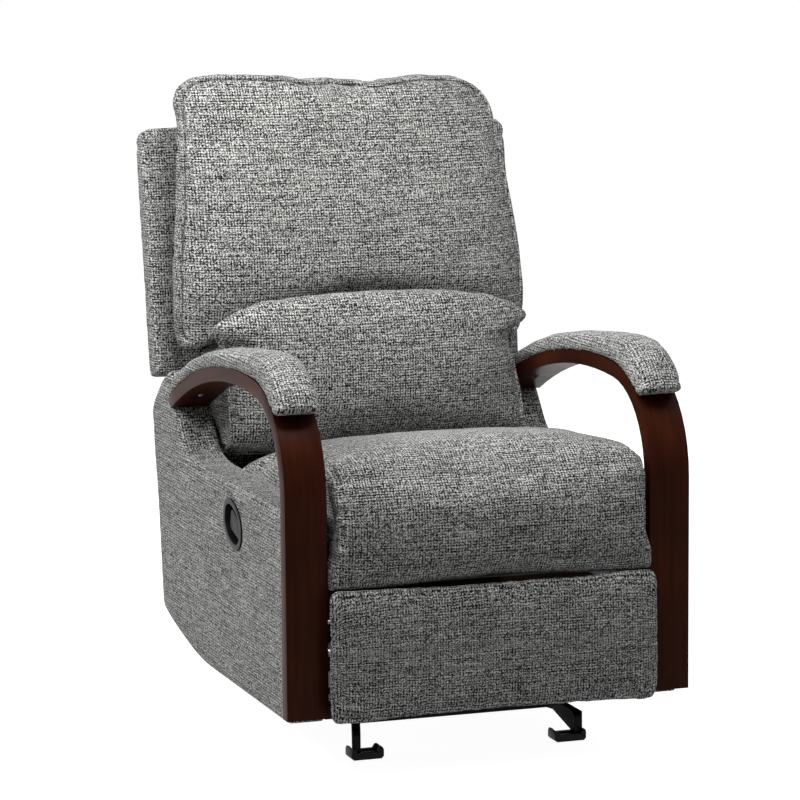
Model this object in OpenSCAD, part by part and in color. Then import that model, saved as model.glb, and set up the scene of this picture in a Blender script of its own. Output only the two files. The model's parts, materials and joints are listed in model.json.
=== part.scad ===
// Rocker recliner with bentwood arms: a steel rocker base, an upholstered body that rocks on it,
// a reclining back, a seat that moves forward with it, and a footrest on double scissor links.
// Lengths are millimetres. +Z is up, the chair faces -Y, and X runs across it.

/* [Overall] */
// Width over the two wooden arms
chair_w = 700; // [680:5:760]
// Height of the arm posts and side panels above the floor
post_gap = 100; // [94:1:106]
// Running gap between soft or wooden pieces that move past each other
soft_gap = 1; // [0.6:0.1:1.5]

/* [Bentwood arms] */
// Width of the bent wood strip
arm_w = 70; // [64:1:74]
// Thickness of the bent wood strip
arm_t = 25; // [22:1:28]
// Height of the underside of the arm at its highest point
arm_rise = 612; // [600:1:630]
// Distance of that highest point behind the front face of the post
arm_apex = 258; // [240:1:280]
// Inner radius of the bend between post and arm
arm_bend_r = 150; // [130:1:160]
// Inner radius of the long bow of the arm
arm_bow_r = 1000; // [950:5:1060]
// Distance of the rear end of the arm behind the post face
arm_reach = 680; // [670:1:690]

/* [Arm pads] */
// Width of an arm pad
pad_w = 78; // [76:1:82]
// Thickness of the pad at its front roll
pad_roll = 52; // [46:1:56]
// Thickness of the pad over the middle of the arm
pad_t = 30; // [26:1:34]
// Depth to which the pad wraps down the sides of the wood
pad_lip = 11; // [8:1:14]
// Diameter of the screw heads under the arms
arm_screw_d = 12; // [10:1:14]

/* [Side panels] */
// Thickness of an upholstered side panel
panel_t = 68; // [64:1:70]
// Distance of the panel's outer face behind the outer face of the arm
panel_inset = 5; // [3:1:7]
// Height of the flat top edge of the side panel
side_top_z = 438; // [430:1:446]
// Length of the wing behind the end of the arm
wing_l = 156; // [150:1:160]
// Rise of the wing above the rear end of the arm
wing_rise = 62; // [56:1:66]
// Radius of the padded edges of the panel
panel_edge = 11; // [8:1:12]
// Thickness of the plywood board inside the panel
board_t = 18; // [15:1:21]
// Length of the recessed latch cup, without its rim
latch_l = 94; // [90:1:98]
// Height of the recessed latch cup, without its rim
latch_h = 64; // [62:1:68]
// Turn of the oval cup in degrees, its rear end up
latch_turn = 20; // [14:1:24]
// Depth of the recess
latch_depth = 26; // [22:1:30]

/* [Seat] */
// How far the front of the seat stands proud of the posts
seat_nose = 38; // [34:1:42]
// Height of the crown of the seat
seat_crown_z = 534; // [526:1:540]
// Height of the bottom of the front roll
seat_roll_z = 311; // [309:1:314]
// Depth of the seat cushion from the posts to its rear end
seat_depth = 572; // [560:1:580]
// Travel of the seat when the back is fully reclined
seat_travel = 40; // [30:1:42]
// Slope of that travel in degrees
seat_slope = 4; // [2:0.5:5]

/* [Back] */
// Lean of the upright back in degrees
back_lean = 10.5; // [9:0.5:12]
// Length of the outer back along its lean
back_l = 664; // [650:1:680]
// Thickness of the outer back
back_t = 54; // [50:1:58]
// Distance of the rear foot of the back behind the posts
back_foot_y = 787; // [783:1:790]
// Height of the rear foot of the back
back_foot_z = 342; // [338:1:350]
// Rise of the head pillow above the outer back
pillow_rise = 96; // [86:1:104]
// Largest half width of the head pillow
pillow_half = 342; // [335:1:344]

/* [Footrest] */
// Half length of one scissor link between its pivots
link_half = 90; // [86:1:92]
// Angle of the folded links below the horizontal in degrees
link_folded = 80; // [78:1:81]
// Width of a scissor link
link_w = 18; // [16:1:20]
// Thickness of the steel links and plates
link_t = 4; // [3:0.5:4]
// Diameter of the pivot rivets
pivot_d = 8; // [7:0.5:9]
// Height of the footrest board
foot_board_h = 190; // [180:1:192]
// Thickness of the footrest pad
foot_pad_t = 32; // [28:1:34]
// Height of the lower edge of the footrest pad
foot_pad_z = 99; // [97:1:103]

/* [Rocker base] */
// Distance between the front and the rear feet
feet_l = 560; // [540:5:580]
// Distance between the feet of the two sides
feet_w = 360; // [350:2:372]
// Height of the base rails, where the cams roll
base_h = 65; // [62:1:66]
// Radius of the rocker cams
cam_r = 360; // [330:5:400]
// Distance of the middle of the base behind the posts
base_mid = 400; // [390:1:410]
// Thickness of the pressed steel of the base
base_t = 3; // [2.5:0.5:4]

/* [Hidden] */

wood_red = "#4a1a10";
tweed = "#77787a";
black_steel = "#1d1d1f";
black_plastic = "#17171a";
zinc = "#a9acb0";
plywood = "#b98f5c";

fit = 0.3;             // face clearance of pieces that are put together
run_fit = 0.05;        // radial clearance of a pivot
over = 1;              // overrun of cuts
half_turn = 180;
full_turn = 360;
quarter = 90;
smooth_n = 4;          // spline steps between two points of a soft outline
round_n = 40;          // sides of drawn circles

// places across the chair
post_in = chair_w / 2 - arm_w;
panel_out = chair_w / 2 - panel_inset;
inner_half = panel_out - panel_t;
rail_t = 8;
plate_gap = 1;
plate_out = inner_half - rail_t - plate_gap;
plate_in = plate_out - link_t;
drive_out = plate_in - plate_gap;
lift_out = drive_out - link_t - plate_gap;
bracket_out = lift_out - link_t - plate_gap;

// the arm's path: post, bend and bow
bend_y = arm_t + arm_bend_r;
bow_z = arm_rise - arm_bow_r;
bend_z = bow_z + sqrt(pow(arm_bow_r - arm_bend_r, 2) - pow(arm_apex - bend_y, 2));
join_a = atan2(bend_z - bow_z, bend_y - arm_apex);
end_a = acos((arm_reach - arm_apex) / arm_bow_r);
arm_end_z = bow_z + arm_bow_r * sin(end_a);
bend_steps = 10;
bow_steps = 14;

// the side panel
panel_y = arm_t + soft_gap;
panel_drop = 10;       // how far the panels hang below the posts
panel_z = post_gap - panel_drop;
wing_top_z = arm_end_z + wing_rise;
panel_rear = arm_reach + wing_l;

// the reclining back's own frame: foot at its rear lower edge
pivot_y = 640;
pivot_z = 300;
wing_clear_u = 216;    // where the outer back widens above the wings
back_low_half = drive_out - link_t;
rear_y = back_foot_y + back_l * sin(back_lean);
setback = (rear_y - seat_nose) / 2;

// footrest linkage, folded
crank_y = 150;
crank_z = 292;
fold_run = link_half * cos(link_folded);
fold_drop = link_half * sin(link_folded);
foot_y = 12;          // rear face of the footrest board
foot_board_t = 16;
foot_board_z = foot_pad_z + 4;

// rocker
rail_x = feet_w / 2 - 6;
roll_z = base_h + fit;
rock_z = roll_z + cam_r;

function arc(c, r, a, b, n) = [for (i = [0:n]) let (t = a + (b - a) * i / n) c + r * [cos(t), sin(t)]];
function unit(v) = v / norm(v);
function mix(a, b, t) = a + (b - a) * t;
function spline_at(p0, p1, p2, p3, t) =
    (2 * p1 + (p2 - p0) * t + (2 * p0 - 5 * p1 + 4 * p2 - p3) * t * t
     + (3 * p1 - p0 - 3 * p2 + p3) * t * t * t) / 2;
function ring_spline(p, n) = let (m = len(p))
    [for (i = [0:m - 1], j = [0:n - 1]) spline_at(p[(i + m - 1) % m], p[i], p[(i + 1) % m], p[(i + 2) % m],
        j / n)];
function open_spline(p, n) = let (m = len(p) - 1)
    [for (i = [0:m - 1], j = [0:(i == m - 1 ? n : n - 1)])
        spline_at(p[max(i - 1, 0)], p[i], p[i + 1], p[min(i + 2, m)], j / n)];
// moves every point of a counter-clockwise outline inwards
function inset(p, d) = let (m = len(p)) [for (i = [0:m - 1])
    let (e = unit(p[i] - p[(i + m - 1) % m]), f = unit(p[(i + 1) % m] - p[i]),
         n = [-e.y - f.y, e.x + f.x]) p[i] + d * n / max(1 + e * f, 0.4)];

// draws an outline in towards the middle of its own box, by d at its four sides
function shrink(p, d) = let (y = [for (q = p) q.x], z = [for (q = p) q.y],
    c = [max(y) + min(y), max(z) + min(z)] / 2, h = [max(y) - min(y), max(z) - min(z)] / 2)
    [for (q = p) [c.x + (q.x - c.x) * (1 - d / h.x), c.y + (q.y - c.y) * (1 - d / h.y)]];

// a closed skin over rings of points; each end is closed by a fan from its own middle point
module skin(rings, middles) {
    n = len(rings[0]);
    m = len(rings);
    points = concat([for (ring = rings) each ring], middles);
    walls = [for (i = [0:m - 2], j = [0:n - 1]) let (a = i * n + j, b = i * n + (j + 1) % n)
        each [[a, a + n, b], [b, a + n, b + n]]];
    first = [for (j = [0:n - 1]) [m * n, j, (j + 1) % n]];
    last = [for (j = [0:n - 1]) [m * n + 1, (m - 1) * n + (j + 1) % n, (m - 1) * n + j]];
    polyhedron(points = points, faces = concat(first, walls, last), convexity = 6);
}
function ring_middle(ring) = [for (p = ring) 1] * ring / len(ring);
function end_middles(rings) = [ring_middle(rings[0]), ring_middle(rings[len(rings) - 1])];
// the same, on the two flat sides of a cushion of that half width
function side_middles(rings, half, widths, heart) = [for (m = end_middles(rings))
    let (c = is_undef(heart) ? [m.y, m.z] : heart) [sign(m.x) * half * lookup(c.y, widths), c.x, c.y]];

// an upholstered form across the chair: its outline changes from the middle to the sides,
// its edges pull in over the last stretch, and its width follows a table of height and share
module cushion(mid, side, half, edge, rows, power = 2, flare_y = 0, flare = 0, widths = [[0, 1]],
               heart = undef) {
    rings = [for (k = [-rows:rows]) let (
        s = sin(quarter * k / rows), x = half * s,
        u = max(0, (abs(x) - (half - edge)) / edge),
        d = edge * (1 - sqrt(max(0, 1 - u * u))),
        ring = shrink(ring_spline([for (i = [0:len(mid) - 1]) mix(mid[i], side[i], pow(abs(s), power))],
                                 smooth_n), d))
        [for (p = ring) [x * lookup(p.y, widths)
                         + sign(s) * flare * pow(abs(s), 4) * min(1, max(0, (flare_y - p.x) / edge)), p.x,
                             p.y]]];
    skin(rings, side_middles(rings, half, widths, heart));
}

// a round wire along a path
module wire(path, r, sides, up = [0, 0, 1]) {
    m = len(path) - 1;
    rings = [for (i = [0:m]) let (
        t = unit(path[min(i + 1, m)] - path[max(i - 1, 0)]), u = unit(cross(up, t)), v = cross(t, u))
        [for (j = [0:sides - 1]) path[i] + r * (cos(full_turn * j / sides) * u
                                               + sin(full_turn * j / sides) * v)]];
    skin(rings, end_middles(rings));
}

module place() { translate([0, -setback, 0]) children(); }
module pair() { children(); mirror([1, 0, 0]) children(); }
// extrudes a side view (y, z) from x over a width
module side_view(x, w) { translate([x, 0, 0]) rotate([quarter, 0, quarter]) linear_extrude(height = w)
    children(); }
// a bar along X
module bar(x, y, z, w, d, h) { translate([x, y, z]) cube([w, d, h]); }
// a round pin along X
module pin_x(x, y, z, w, d) { translate([x, y, z]) rotate([0, quarter, 0]) cylinder(d = d, h = w,
    $fn = round_n); }
module back_place() {
    place() translate([0, back_foot_y, back_foot_z]) rotate([-back_lean, 0, 0]) children();
}
// a flat link between two points of a side view
module strap(a, b, w) {
    l = norm(b - a);
    translate(a) rotate(atan2(b.y - a.y, b.x - a.x)) {
        translate([0, -w / 2]) square([l, w]);
        circle(d = w, $fn = round_n);
        translate([l, 0]) circle(d = w, $fn = round_n);
    }
}

// the side view of one arm: post, bend and bow in one strip
module arm_outline(grow = 0) {
    polygon(concat(
        [[arm_t + grow, post_gap - grow], [arm_t + grow, bend_z]],
        arc([bend_y, bend_z], arm_bend_r - grow, half_turn, join_a, bend_steps),
        arc([arm_apex, bow_z], arm_bow_r - grow, join_a, end_a, bow_steps),
        arc([arm_apex, bow_z], arm_bow_r + arm_t + grow, end_a, join_a, bow_steps),
        arc([bend_y, bend_z], arm_bend_r + arm_t + grow, join_a, half_turn, bend_steps),
        [[-grow, post_gap - grow]]));
}

// screws that hold the pads: their angles on the bow, and their shank
screw_angles = [mix(end_a, join_a, 0.155), mix(end_a, join_a, 0.82)];
arm_screw_core = 5;
arm_screw_head = 3;
arm_screw_bite = 10;
module arm_screw_set(grow = 0) {
    for (t = screw_angles) translate([post_in + arm_w / 2, arm_apex, bow_z]) rotate([t, 0, 0])
        translate([0, arm_bow_r, 0]) rotate([-quarter, 0, 0]) {
            translate([0, 0, -grow]) cylinder(d = arm_screw_core + 2 * grow,
                h = arm_t + arm_screw_bite + 2 * grow, $fn = round_n);
            translate([0, 0, -arm_screw_head]) cylinder(d1 = arm_screw_d * 0.6, d2 = arm_screw_d,
                h = arm_screw_head, $fn = round_n);
        }
}

// bolts that hold the posts to the panels
arm_bolt_d = 8;
arm_bolt_in = 14;
arm_bolt_l = 60;
module arm_bolt_set(grow = 0) {
    for (z = [mix(post_gap, side_top_z, 0.25), mix(post_gap, side_top_z, 0.85)])
        translate([post_in + arm_w / 2, arm_t - arm_bolt_in - grow, z]) rotate([-quarter, 0, 0])
            cylinder(d = arm_bolt_d + 2 * grow, h = arm_bolt_l + 2 * grow, $fn = round_n);
}

module arm() {
    color(wood_red) place() difference() {
        side_view(post_in, arm_w) arm_outline();
        arm_screw_set(fit);
        arm_bolt_set(fit);
    }
}
module arm_right() { arm(); }
module arm_left() { mirror([1, 0, 0]) arm(); }
module arm_screws() { color(zinc) place() pair() arm_screw_set(); }
module arm_bolts() { color(zinc) place() pair() arm_bolt_set(); }

// the pad: rings that stand on the wood, from the roll at the front to the thin rear end
pad_start_a = 132;
pad_tip_a = 166;
pad_n = 16;
pad_square = 2.7;
// place along the arm, direction, thickness and width of each ring, as shares
pad_bend_shares = [[0, 0, 0.62, 0.86], [0.04, 0.02, 0.86, 0.97], [0.16, 0.10, 0.98, 1], [0.34, 0.30, 1, 1],
                   [0.56, 0.58, 1, 1], [0.78, 0.84, 0.97, 1], [1, 1, 0.9, 1]];
pad_bow_shares = [[0.1, 0.42, 1], [0.24, 0.12, 1], [0.4, 0, 1], [0.56, 0, 1], [0.7, 0, 1], [0.83, -0.06, 1],
                  [0.93, -0.2, 1], [0.98, -0.45, 0.96], [0.994, -0.85, 0.86]];
function pad_ring(base, a, h, w) = [for (j = [0:pad_n - 1]) let (
    t = -full_turn * j / pad_n, c = cos(t), s = sin(t),
    x = w / 2 * sign(c) * pow(abs(c), 2 / pad_square),
    n = (h - pad_lip) / 2 + (h + pad_lip) / 2 * sign(s) * pow(abs(s), 2 / pad_square))
    [post_in + arm_w / 2 + x, base.x + n * cos(a), base.y + n * sin(a)]];
module pad_form() {
    outer_bend = arm_bend_r + arm_t;
    outer_bow = arm_bow_r + arm_t;
    rings = concat(
        [for (r = pad_bend_shares) let (b = mix(pad_start_a, join_a, r[0]))
            pad_ring([bend_y, bend_z] + outer_bend * [cos(b), sin(b)], mix(pad_tip_a, join_a, r[1]),
                     pad_roll * r[2], pad_w * r[3])],
        [for (r = pad_bow_shares) let (b = mix(join_a, end_a, r[0]))
            pad_ring([arm_apex, bow_z] + outer_bow * [cos(b), sin(b)], b,
                     mix(pad_t, pad_roll, r[1]), pad_w * r[2])]);
    skin(rings, end_middles(rings));
}
module arm_pad() {
    color(tweed) place() difference() {
        pad_form();
        side_view(post_in - fit, arm_w + 2 * fit) arm_outline(fit);
        arm_screw_set(fit);
    }
}
module arm_pad_right() { arm_pad(); }
module arm_pad_left() { mirror([1, 0, 0]) arm_pad(); }

// the side panel's outline, in shares of the stretch ahead of the arm's end, of the wing's length,
// of the height of its sides and of the wing's rise
panel_foot_shares = [[0.70, 0], [0.817, 0.017], [0.939, 0.055]];
panel_heel_shares = [[0.256, 0.103], [0.50, 0.136], [0.61, 0.165], [0.66, 0.26], [0.705, 0.417], [0.79,
    0.704],
                     [0.91, 0.948]];
wing_shares = [[0.952, -0.74], [0.99, -0.42], [0.915, -0.07], [0.769, 0.25], [0.558, 0.64], [0.353, 0.9],
               [0.21, 1], [0.11, 0.84], [0.07, 0.4]];
panel_dip_shares = [[0.985, 1], [0.954, 0.70], [0.92, 0.375], [0.875, 0.15], [0.817, 0.04], [0.755, 0]];
function panel_outline() = let (ahead = arm_reach - panel_y, tall = side_top_z - panel_z) concat(
    [[panel_y, panel_z]],
    open_spline(concat(
        [for (s = panel_foot_shares) [panel_y + s.x * ahead, panel_z + s.y * tall]],
        [for (s = panel_heel_shares) [arm_reach + s.x * wing_l, panel_z + s.y * tall]],
        [for (s = wing_shares) [arm_reach + s.x * wing_l, arm_end_z + s.y * wing_rise]],
        [for (s = panel_dip_shares) [panel_y + s.x * ahead, mix(side_top_z, arm_end_z, s.y)]]), 3),
    [[panel_y, side_top_z]]);
panel_lining = 4;
module panel_form() {
    line = panel_outline();
    stops = concat([[inner_half, panel_lining], [inner_half + panel_lining, 0]],
        [for (a = [0:30:quarter]) [panel_out - panel_edge * (1 - sin(a)), panel_edge * (1 - cos(a))]]);
    // both ends fan out from a point that sees the whole outline, wing included
    heart = [arm_reach + wing_l * 0.06, mix(panel_z, side_top_z, 0.6)];
    skin([for (s = stops) [for (p = inset(line, s.y)) [s.x, p.x, p.y]]],
         [for (s = [stops[0], stops[len(stops) - 1]]) [s.x, heart.x, heart.y]]);
}
// the plywood board let into the inner face
board_y = panel_y + 24;
board_z = panel_z + 20;
board_rear = arm_reach + 24;
board_top = side_top_z - 20;
module board_outline(grow = 0) {
    translate([board_y - grow, board_z - grow]) square([board_rear - board_y + 2 * grow,
        board_top - board_z + 2 * grow]);
}
module side_panel(cut_latch) {
    color(tweed) place() difference() {
        panel_form();
        side_view(inner_half - over, panel_t + 2 * over) arm_outline(fit);
        side_view(inner_half - over, board_t + fit + over) board_outline(fit);
        arm_bolt_set(fit);
        if (cut_latch) {
            side_view(panel_out - latch_depth - fit, latch_depth + 2 * over) latch_oval(fit);
            side_view(inner_half + board_t - over, panel_t - board_t - latch_depth + 2 * over)
                latch_shaft();
        }
    }
}
module side_panel_right() { side_panel(false); }
module side_panel_left() { mirror([1, 0, 0]) side_panel(true); }
module side_board() {
    difference() {
        side_view(inner_half, board_t) board_outline();
        rail_bolt_set(fit);
        arm_bolt_set(fit);
    }
}
module side_boards() {
    color(plywood) place() {
        side_board();
        mirror([1, 0, 0]) difference() {
            side_board();
            side_view(inner_half - over, board_t + 2 * over) translate([cable_y, cable_z])
                circle(d = cable_hole, $fn = round_n);
        }
    }
}

// the latch: a recessed cup with a paddle that is pulled outwards
latch_y = 311;
latch_z = 371;
latch_wall = 2.5;
latch_rim = 7;
latch_rim_t = 2.5;
latch_square = 2.2;
latch_n = 48;
latch_pin_d = 4;
latch_pin_in = 9;
paddle_t = 3.5;
paddle_gap = 2;
knuckle_d = 9;
hinge_off = latch_l / 2 - 16;
tail_w = 10;
tail_l = 24;
tail_t = 3;
tail_room = 22;         // room for the tail as it swings towards the rear
cable_d = 5;
cable_y = 285;
cable_z = 226;
cable_hole = 22;
cable_out = panel_out - 34;
hook_x = inner_half - 29;
cable_end_y = 251;
module latch_oval(grow) {
    translate([latch_y, latch_z]) rotate(latch_turn)
        polygon([for (j = [0:latch_n - 1]) let (t = full_turn * j / latch_n, c = cos(t), s = sin(t))
            [(latch_l / 2 + grow) * sign(c) * pow(abs(c), 2 / latch_square),
             (latch_h / 2 + grow) * sign(s) * pow(abs(s), 2 / latch_square)]]);
}
// the paddle, its pin and its window are drawn level, and turned with the oval
module latch_turned() {
    translate([0, latch_y, latch_z]) rotate([latch_turn, 0, 0]) translate([0, -latch_y, -latch_z])
        children();
}
// the hollow behind the cup, down to where the cable leaves
module latch_shaft() {
    translate([latch_y - hinge_off - tail_w, cable_z - cable_hole / 2])
        square([tail_w + tail_room, latch_z + tail_w - cable_z + cable_hole / 2]);
}
module latch_cup() {
    color(black_plastic) place() mirror([1, 0, 0]) difference() {
        union() {
            side_view(panel_out - latch_depth, latch_depth) latch_oval(0);
            side_view(panel_out, latch_rim_t) latch_oval(latch_rim);
        }
        side_view(panel_out - latch_depth + latch_wall, latch_depth + latch_rim_t) latch_oval(-latch_wall);
        // window for the tail of the paddle, and the seats of its pin
        latch_turned() translate([panel_out - latch_depth - over, latch_y - hinge_off - tail_w,
            latch_z - tail_w])
            cube([latch_wall + 2 * over, tail_w + tail_room, 2 * tail_w]);
        latch_pin_shape(run_fit);
    }
}
latch_pin_half = latch_h / 2 - 9.5;
module latch_pin_shape(grow) {
    latch_turned() translate([panel_out - latch_pin_in, latch_y - hinge_off,
        latch_z - latch_pin_half - grow])
        cylinder(d = latch_pin_d + 2 * grow, h = 2 * (latch_pin_half + grow), $fn = round_n);
}
module latch_pin() { color(zinc) place() mirror([1, 0, 0]) latch_pin_shape(0); }
paddle_l = latch_l - 34;
paddle_h = latch_h * 0.56;
paddle_x = panel_out - paddle_gap - paddle_t;
module latch_lever() {
    color(black_plastic) place() mirror([1, 0, 0]) difference() {
        latch_turned() union() {
            // the paddle, with a lip to pull at its free end
            hull() for (z = [-1, 1], y = [0, 1])
                translate([paddle_x, latch_y - hinge_off + knuckle_d / 2 + y * (paddle_l - knuckle_d * 2),
                           latch_z + z * (paddle_h / 2 - knuckle_d)]) rotate([0, quarter, 0])
                    cylinder(r = knuckle_d * (y == 0 ? 0.5 : 1), h = paddle_t, $fn = 32);
            translate([paddle_x - paddle_t, latch_y - hinge_off + paddle_l - knuckle_d,
                latch_z - paddle_h / 4])
                cube([2 * paddle_t, paddle_t, paddle_h / 2]);
            translate([panel_out - latch_pin_in, latch_y - hinge_off, latch_z - paddle_h / 2])
                cylinder(d = knuckle_d, h = paddle_h, $fn = round_n);
            translate([panel_out - latch_pin_in - tail_l, latch_y - hinge_off - tail_t / 2,
                latch_z - tail_t])
                cube([tail_l, tail_t, 2 * tail_t]);
        }
        latch_pin_shape(run_fit);
    }
}
// the cable: from the tail of the paddle, down behind the cup and in to the release lever
// share of the way out from the hook to the paddle's tail, then y and z
cable_shares = [[1, 283, 352], [1, 283, 342], [1, 283, 325], [1, 283, 300], [0.968, 283, 270], [0.921, 285,
    250],
                [0.81, 285, 234], [0.667, 285, 227.5], [0.54, 285, 226], [0.413, 285, 226], [0.286, 282,
                    226.5], [0.143, 272, 229],
                [0.032, 260, 235], [0, 253, 243], [0, 251, 250], [0, 251, 257]];
cable_route = [for (c = cable_shares) [-mix(hook_x, cable_out, c.x), c.y, c.z]];
module release_cable() {
    color(black_plastic) place() wire(open_spline(cable_route, 2), cable_d / 2, 8, [1, 0.2, 0]);
}
clip_t = 4;
clip_z = 214;
clip_top = 254;
clip_y = 240;
clip_rear = 300;
cable_fit = 0.6;
// a bracket that guides the cable through the board and holds the end of its sheath
module cable_clips() {
    color(zinc) place() difference() {
        union() {
            translate([-inner_half, clip_y, clip_z]) cube([clip_t, clip_rear - clip_y, clip_top - clip_z]);
            translate([-inner_half, clip_y, clip_top - clip_t]) cube([inner_half - hook_x + 2 * cable_d,
                22, clip_t]);
        }
        translate([-inner_half - over, cable_y, cable_z]) rotate([0, quarter, 0])
            cylinder(d = cable_d + 2 * cable_fit, h = clip_t + 2 * over, $fn = round_n);
        translate([-hook_x, cable_end_y, clip_top - clip_t - over])
            cylinder(d = cable_d + 2 * cable_fit, h = clip_t + 2 * over, $fn = round_n);
    }
}

// the release lever: a shaft in the tab of the mount rail, a jaw at the torque tube, an arm for the cable
hook_y = 205;
hook_z = 246;
hook_t = 8;
hook_d = 8;
hook_jaw = [167, 292];
hook_arm = [249, 278];
hook_w = 12;
module release_hook() {
    color(zinc) place() mirror([1, 0, 0]) {
        side_view(hook_x - hook_t / 2, hook_t) {
            strap([hook_y, hook_z], hook_jaw, hook_w);
            strap([hook_y, hook_z], hook_arm, hook_w);
        }
        pin_x(hook_x, hook_y, hook_z, inner_half - hook_x - fit, hook_d);
    }
}

// the fixed frame of the body
front_rail_y = 29;
front_rail_t = 18;
front_rail_h = 26;
rear_rail_y = arm_reach + 20;
rear_rail_h = 60;
module front_rail() {
    color(plywood) place() bar(-inner_half, front_rail_y, panel_z + soft_gap * 2, 2 * inner_half,
        front_rail_t, front_rail_h);
}
module rear_rail() {
    color(plywood) place() bar(-inner_half, rear_rail_y, board_z, 2 * inner_half, front_rail_t,
        rear_rail_h);
}
cross_t = 25;
cross_half = 130;
cross_z = 118;
module cross_rails() {
    color(black_steel) place() for (s = [-1, 1]) difference() {
        bar(-inner_half, base_mid + s * cross_half - cross_t / 2, cross_z, 2 * inner_half, cross_t,
            cross_t);
        bar(-inner_half - over, base_mid + s * cross_half - cross_t / 2 + base_t, cross_z + base_t,
            2 * (inner_half + over), cross_t - 2 * base_t, cross_t - 2 * base_t);
        pair() cam_bolt_set(fit);
    }
}
spring_x = rail_x - 62;
spring_d = 30;
spring_wire = 4;
spring_half = 50;
spring_plate_w = 52;
spring_turns = 4.5;
module spring_plates() {
    color(black_steel) place() pair()
        bar(spring_x - spring_plate_w / 2, base_mid - cross_half - cross_t / 2, cross_z - base_t,
            spring_plate_w, 2 * cross_half + cross_t, base_t);
}

// the rocker cams: a flat top under the cross rails and an arc that rolls on the base
cam_t = 24;
cam_edge = 4;
cam_half_a = 22;
module rocker_cams() {
    color(black_plastic) place() pair() difference() {
        side_view(rail_x - cam_edge - cam_t, cam_t) polygon(concat(
            arc([base_mid, rock_z], cam_r, -quarter - cam_half_a, -quarter + cam_half_a, 24),
            [[base_mid + cross_half + cross_t / 2, cross_z], [base_mid - cross_half - cross_t / 2,
                cross_z]]));
        cam_bolt_set(fit);
    }
}
cam_bolt_d = 7;
cam_bolt_bite = 18;
module cam_bolt_set(grow) {
    for (s = [-1, 1]) translate([rail_x - cam_edge - cam_t / 2, base_mid + s * cross_half,
        cross_z - cam_bolt_bite - grow]) {
        cylinder(d = cam_bolt_d + 2 * grow, h = cam_bolt_bite + cross_t + 2 * grow, $fn = round_n);
        translate([0, 0, cam_bolt_bite + cross_t + grow]) cylinder(d = 2 * cam_bolt_d, h = base_t,
            $fn = round_n);
    }
}
module cam_bolts() { color(zinc) place() pair() cam_bolt_set(0); }

// the rails that carry the seat plates: two sloping slots each
mount_z = 262;
mount_h = 62;
mount_y = 186;
mount_end = arm_reach + 20;
stud_d = 10;
stud_y = [250, 560];
stud_z = 288;
function slide_step() = seat_travel * [-cos(seat_slope), sin(seat_slope)];
module mount_rails() {
    color(zinc) place() pair() difference() {
        side_view(plate_out + plate_gap, rail_t) difference() {
            translate([mount_y, mount_z]) square([mount_end - mount_y, mount_h]);
            for (y = stud_y) strap([y, stud_z], [y, stud_z] + slide_step(), stud_d + 4 * run_fit);
        }
        rail_bolt_set(fit);
    }
    // tab below the left rail, where the release lever turns
    color(zinc) place() mirror([1, 0, 0]) side_view(plate_out + plate_gap, rail_t) difference() {
        translate([mount_y, hook_z - hook_w]) square([2 * (hook_y - mount_y), mount_z - hook_z + hook_w]);
        translate([hook_y, hook_z]) circle(d = hook_d + 2 * run_fit, $fn = round_n);
    }
}
rail_bolt_y = [205, 400, 500, mount_end - 15];
rail_bolt_d = 8;
rail_bolt_bite = 13;
module rail_bolt_set(grow) {
    for (y = rail_bolt_y) pin_x(plate_out + plate_gap - over * grow, y, mount_z + mount_h - stud_d,
        rail_t + rail_bolt_bite + 2 * grow, rail_bolt_d + 2 * grow);
}
module rail_bolts() { color(zinc) place() pair() rail_bolt_set(0); }

// the rocker base
rail_flange = 33;
leg_run = 80;
leg_out = 25;
leg_ext = 8;
leg_top = 48;
foot_flange_z = 6;
web_low = 38;
base_front = base_mid - feet_l / 2;
base_rear = base_mid + feet_l / 2;
module rail_plan(shift, w) {
    slope = leg_out / leg_run;
    line = [[rail_x + leg_out + slope * leg_ext, base_front - leg_ext], [rail_x, base_front + leg_run],
            [rail_x, base_rear - leg_run], [rail_x + leg_out + slope * leg_ext, base_rear + leg_ext]];
    polygon(concat([for (p = line) [p.x + shift, p.y]], [for (i = [3:-1:0]) [line[i].x + shift + w,
        line[i].y]]));
}
module rail_profile() {
    half = [[base_front - leg_ext, leg_top], [base_front - leg_ext, foot_flange_z],
            [base_front + leg_ext, foot_flange_z], [base_front + leg_run * 0.8, web_low]];
    top = [[base_front + leg_run, base_h]];
    back = concat(top, half);
    polygon(concat(back, [for (i = [4:-1:0]) [2 * base_mid - back[i].x, back[i].y]]));
}
foot_w = 56;
foot_l = 34;
foot_h = 19;
foot_low = 12;
foot_slant = 4;
foot_in = feet_w / 2 - foot_w / 2;
foot_wall = 4;
module base_rail() {
    intersection() {
        linear_extrude(height = base_h) rail_plan(0, base_t);
        side_view(foot_in, 2 * foot_w) rail_profile();
    }
    difference() {
        translate([rail_x + base_t - rail_flange, base_front + leg_run, base_h - base_t])
            cube([rail_flange, feet_l - 2 * leg_run, base_t]);
    }
    for (y = [base_front, base_rear]) translate([foot_in + foot_wall, y - leg_ext, foot_flange_z])
        cube([rail_x + leg_out + base_t / 2 - foot_in - foot_wall, 2 * leg_ext, base_t]);
}
base_bolt_y = 24;
base_bolt_z = 50;
base_bolt_d = 8;
module base_bolt_set(grow) {
    for (y = [base_front + leg_run + base_bolt_y, base_rear - leg_run - base_bolt_y]) {
        pin_x(rail_x - crossbar_t - grow, y, base_bolt_z, crossbar_t + base_t + 2 * grow,
            base_bolt_d + 2 * grow);
        for (x = [rail_x - crossbar_t - base_bolt_d / 2 - grow, rail_x + base_t])
            pin_x(x, y, base_bolt_z, base_bolt_d / 2, 1.7 * base_bolt_d);
    }
}
module base_rails() {
    color(black_steel) place() pair() difference() {
        base_rail();
        base_bolt_set(fit);
    }
}
crossbar_t = 4;
crossbar_h = 24;
crossbar_tab = 42;
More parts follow.
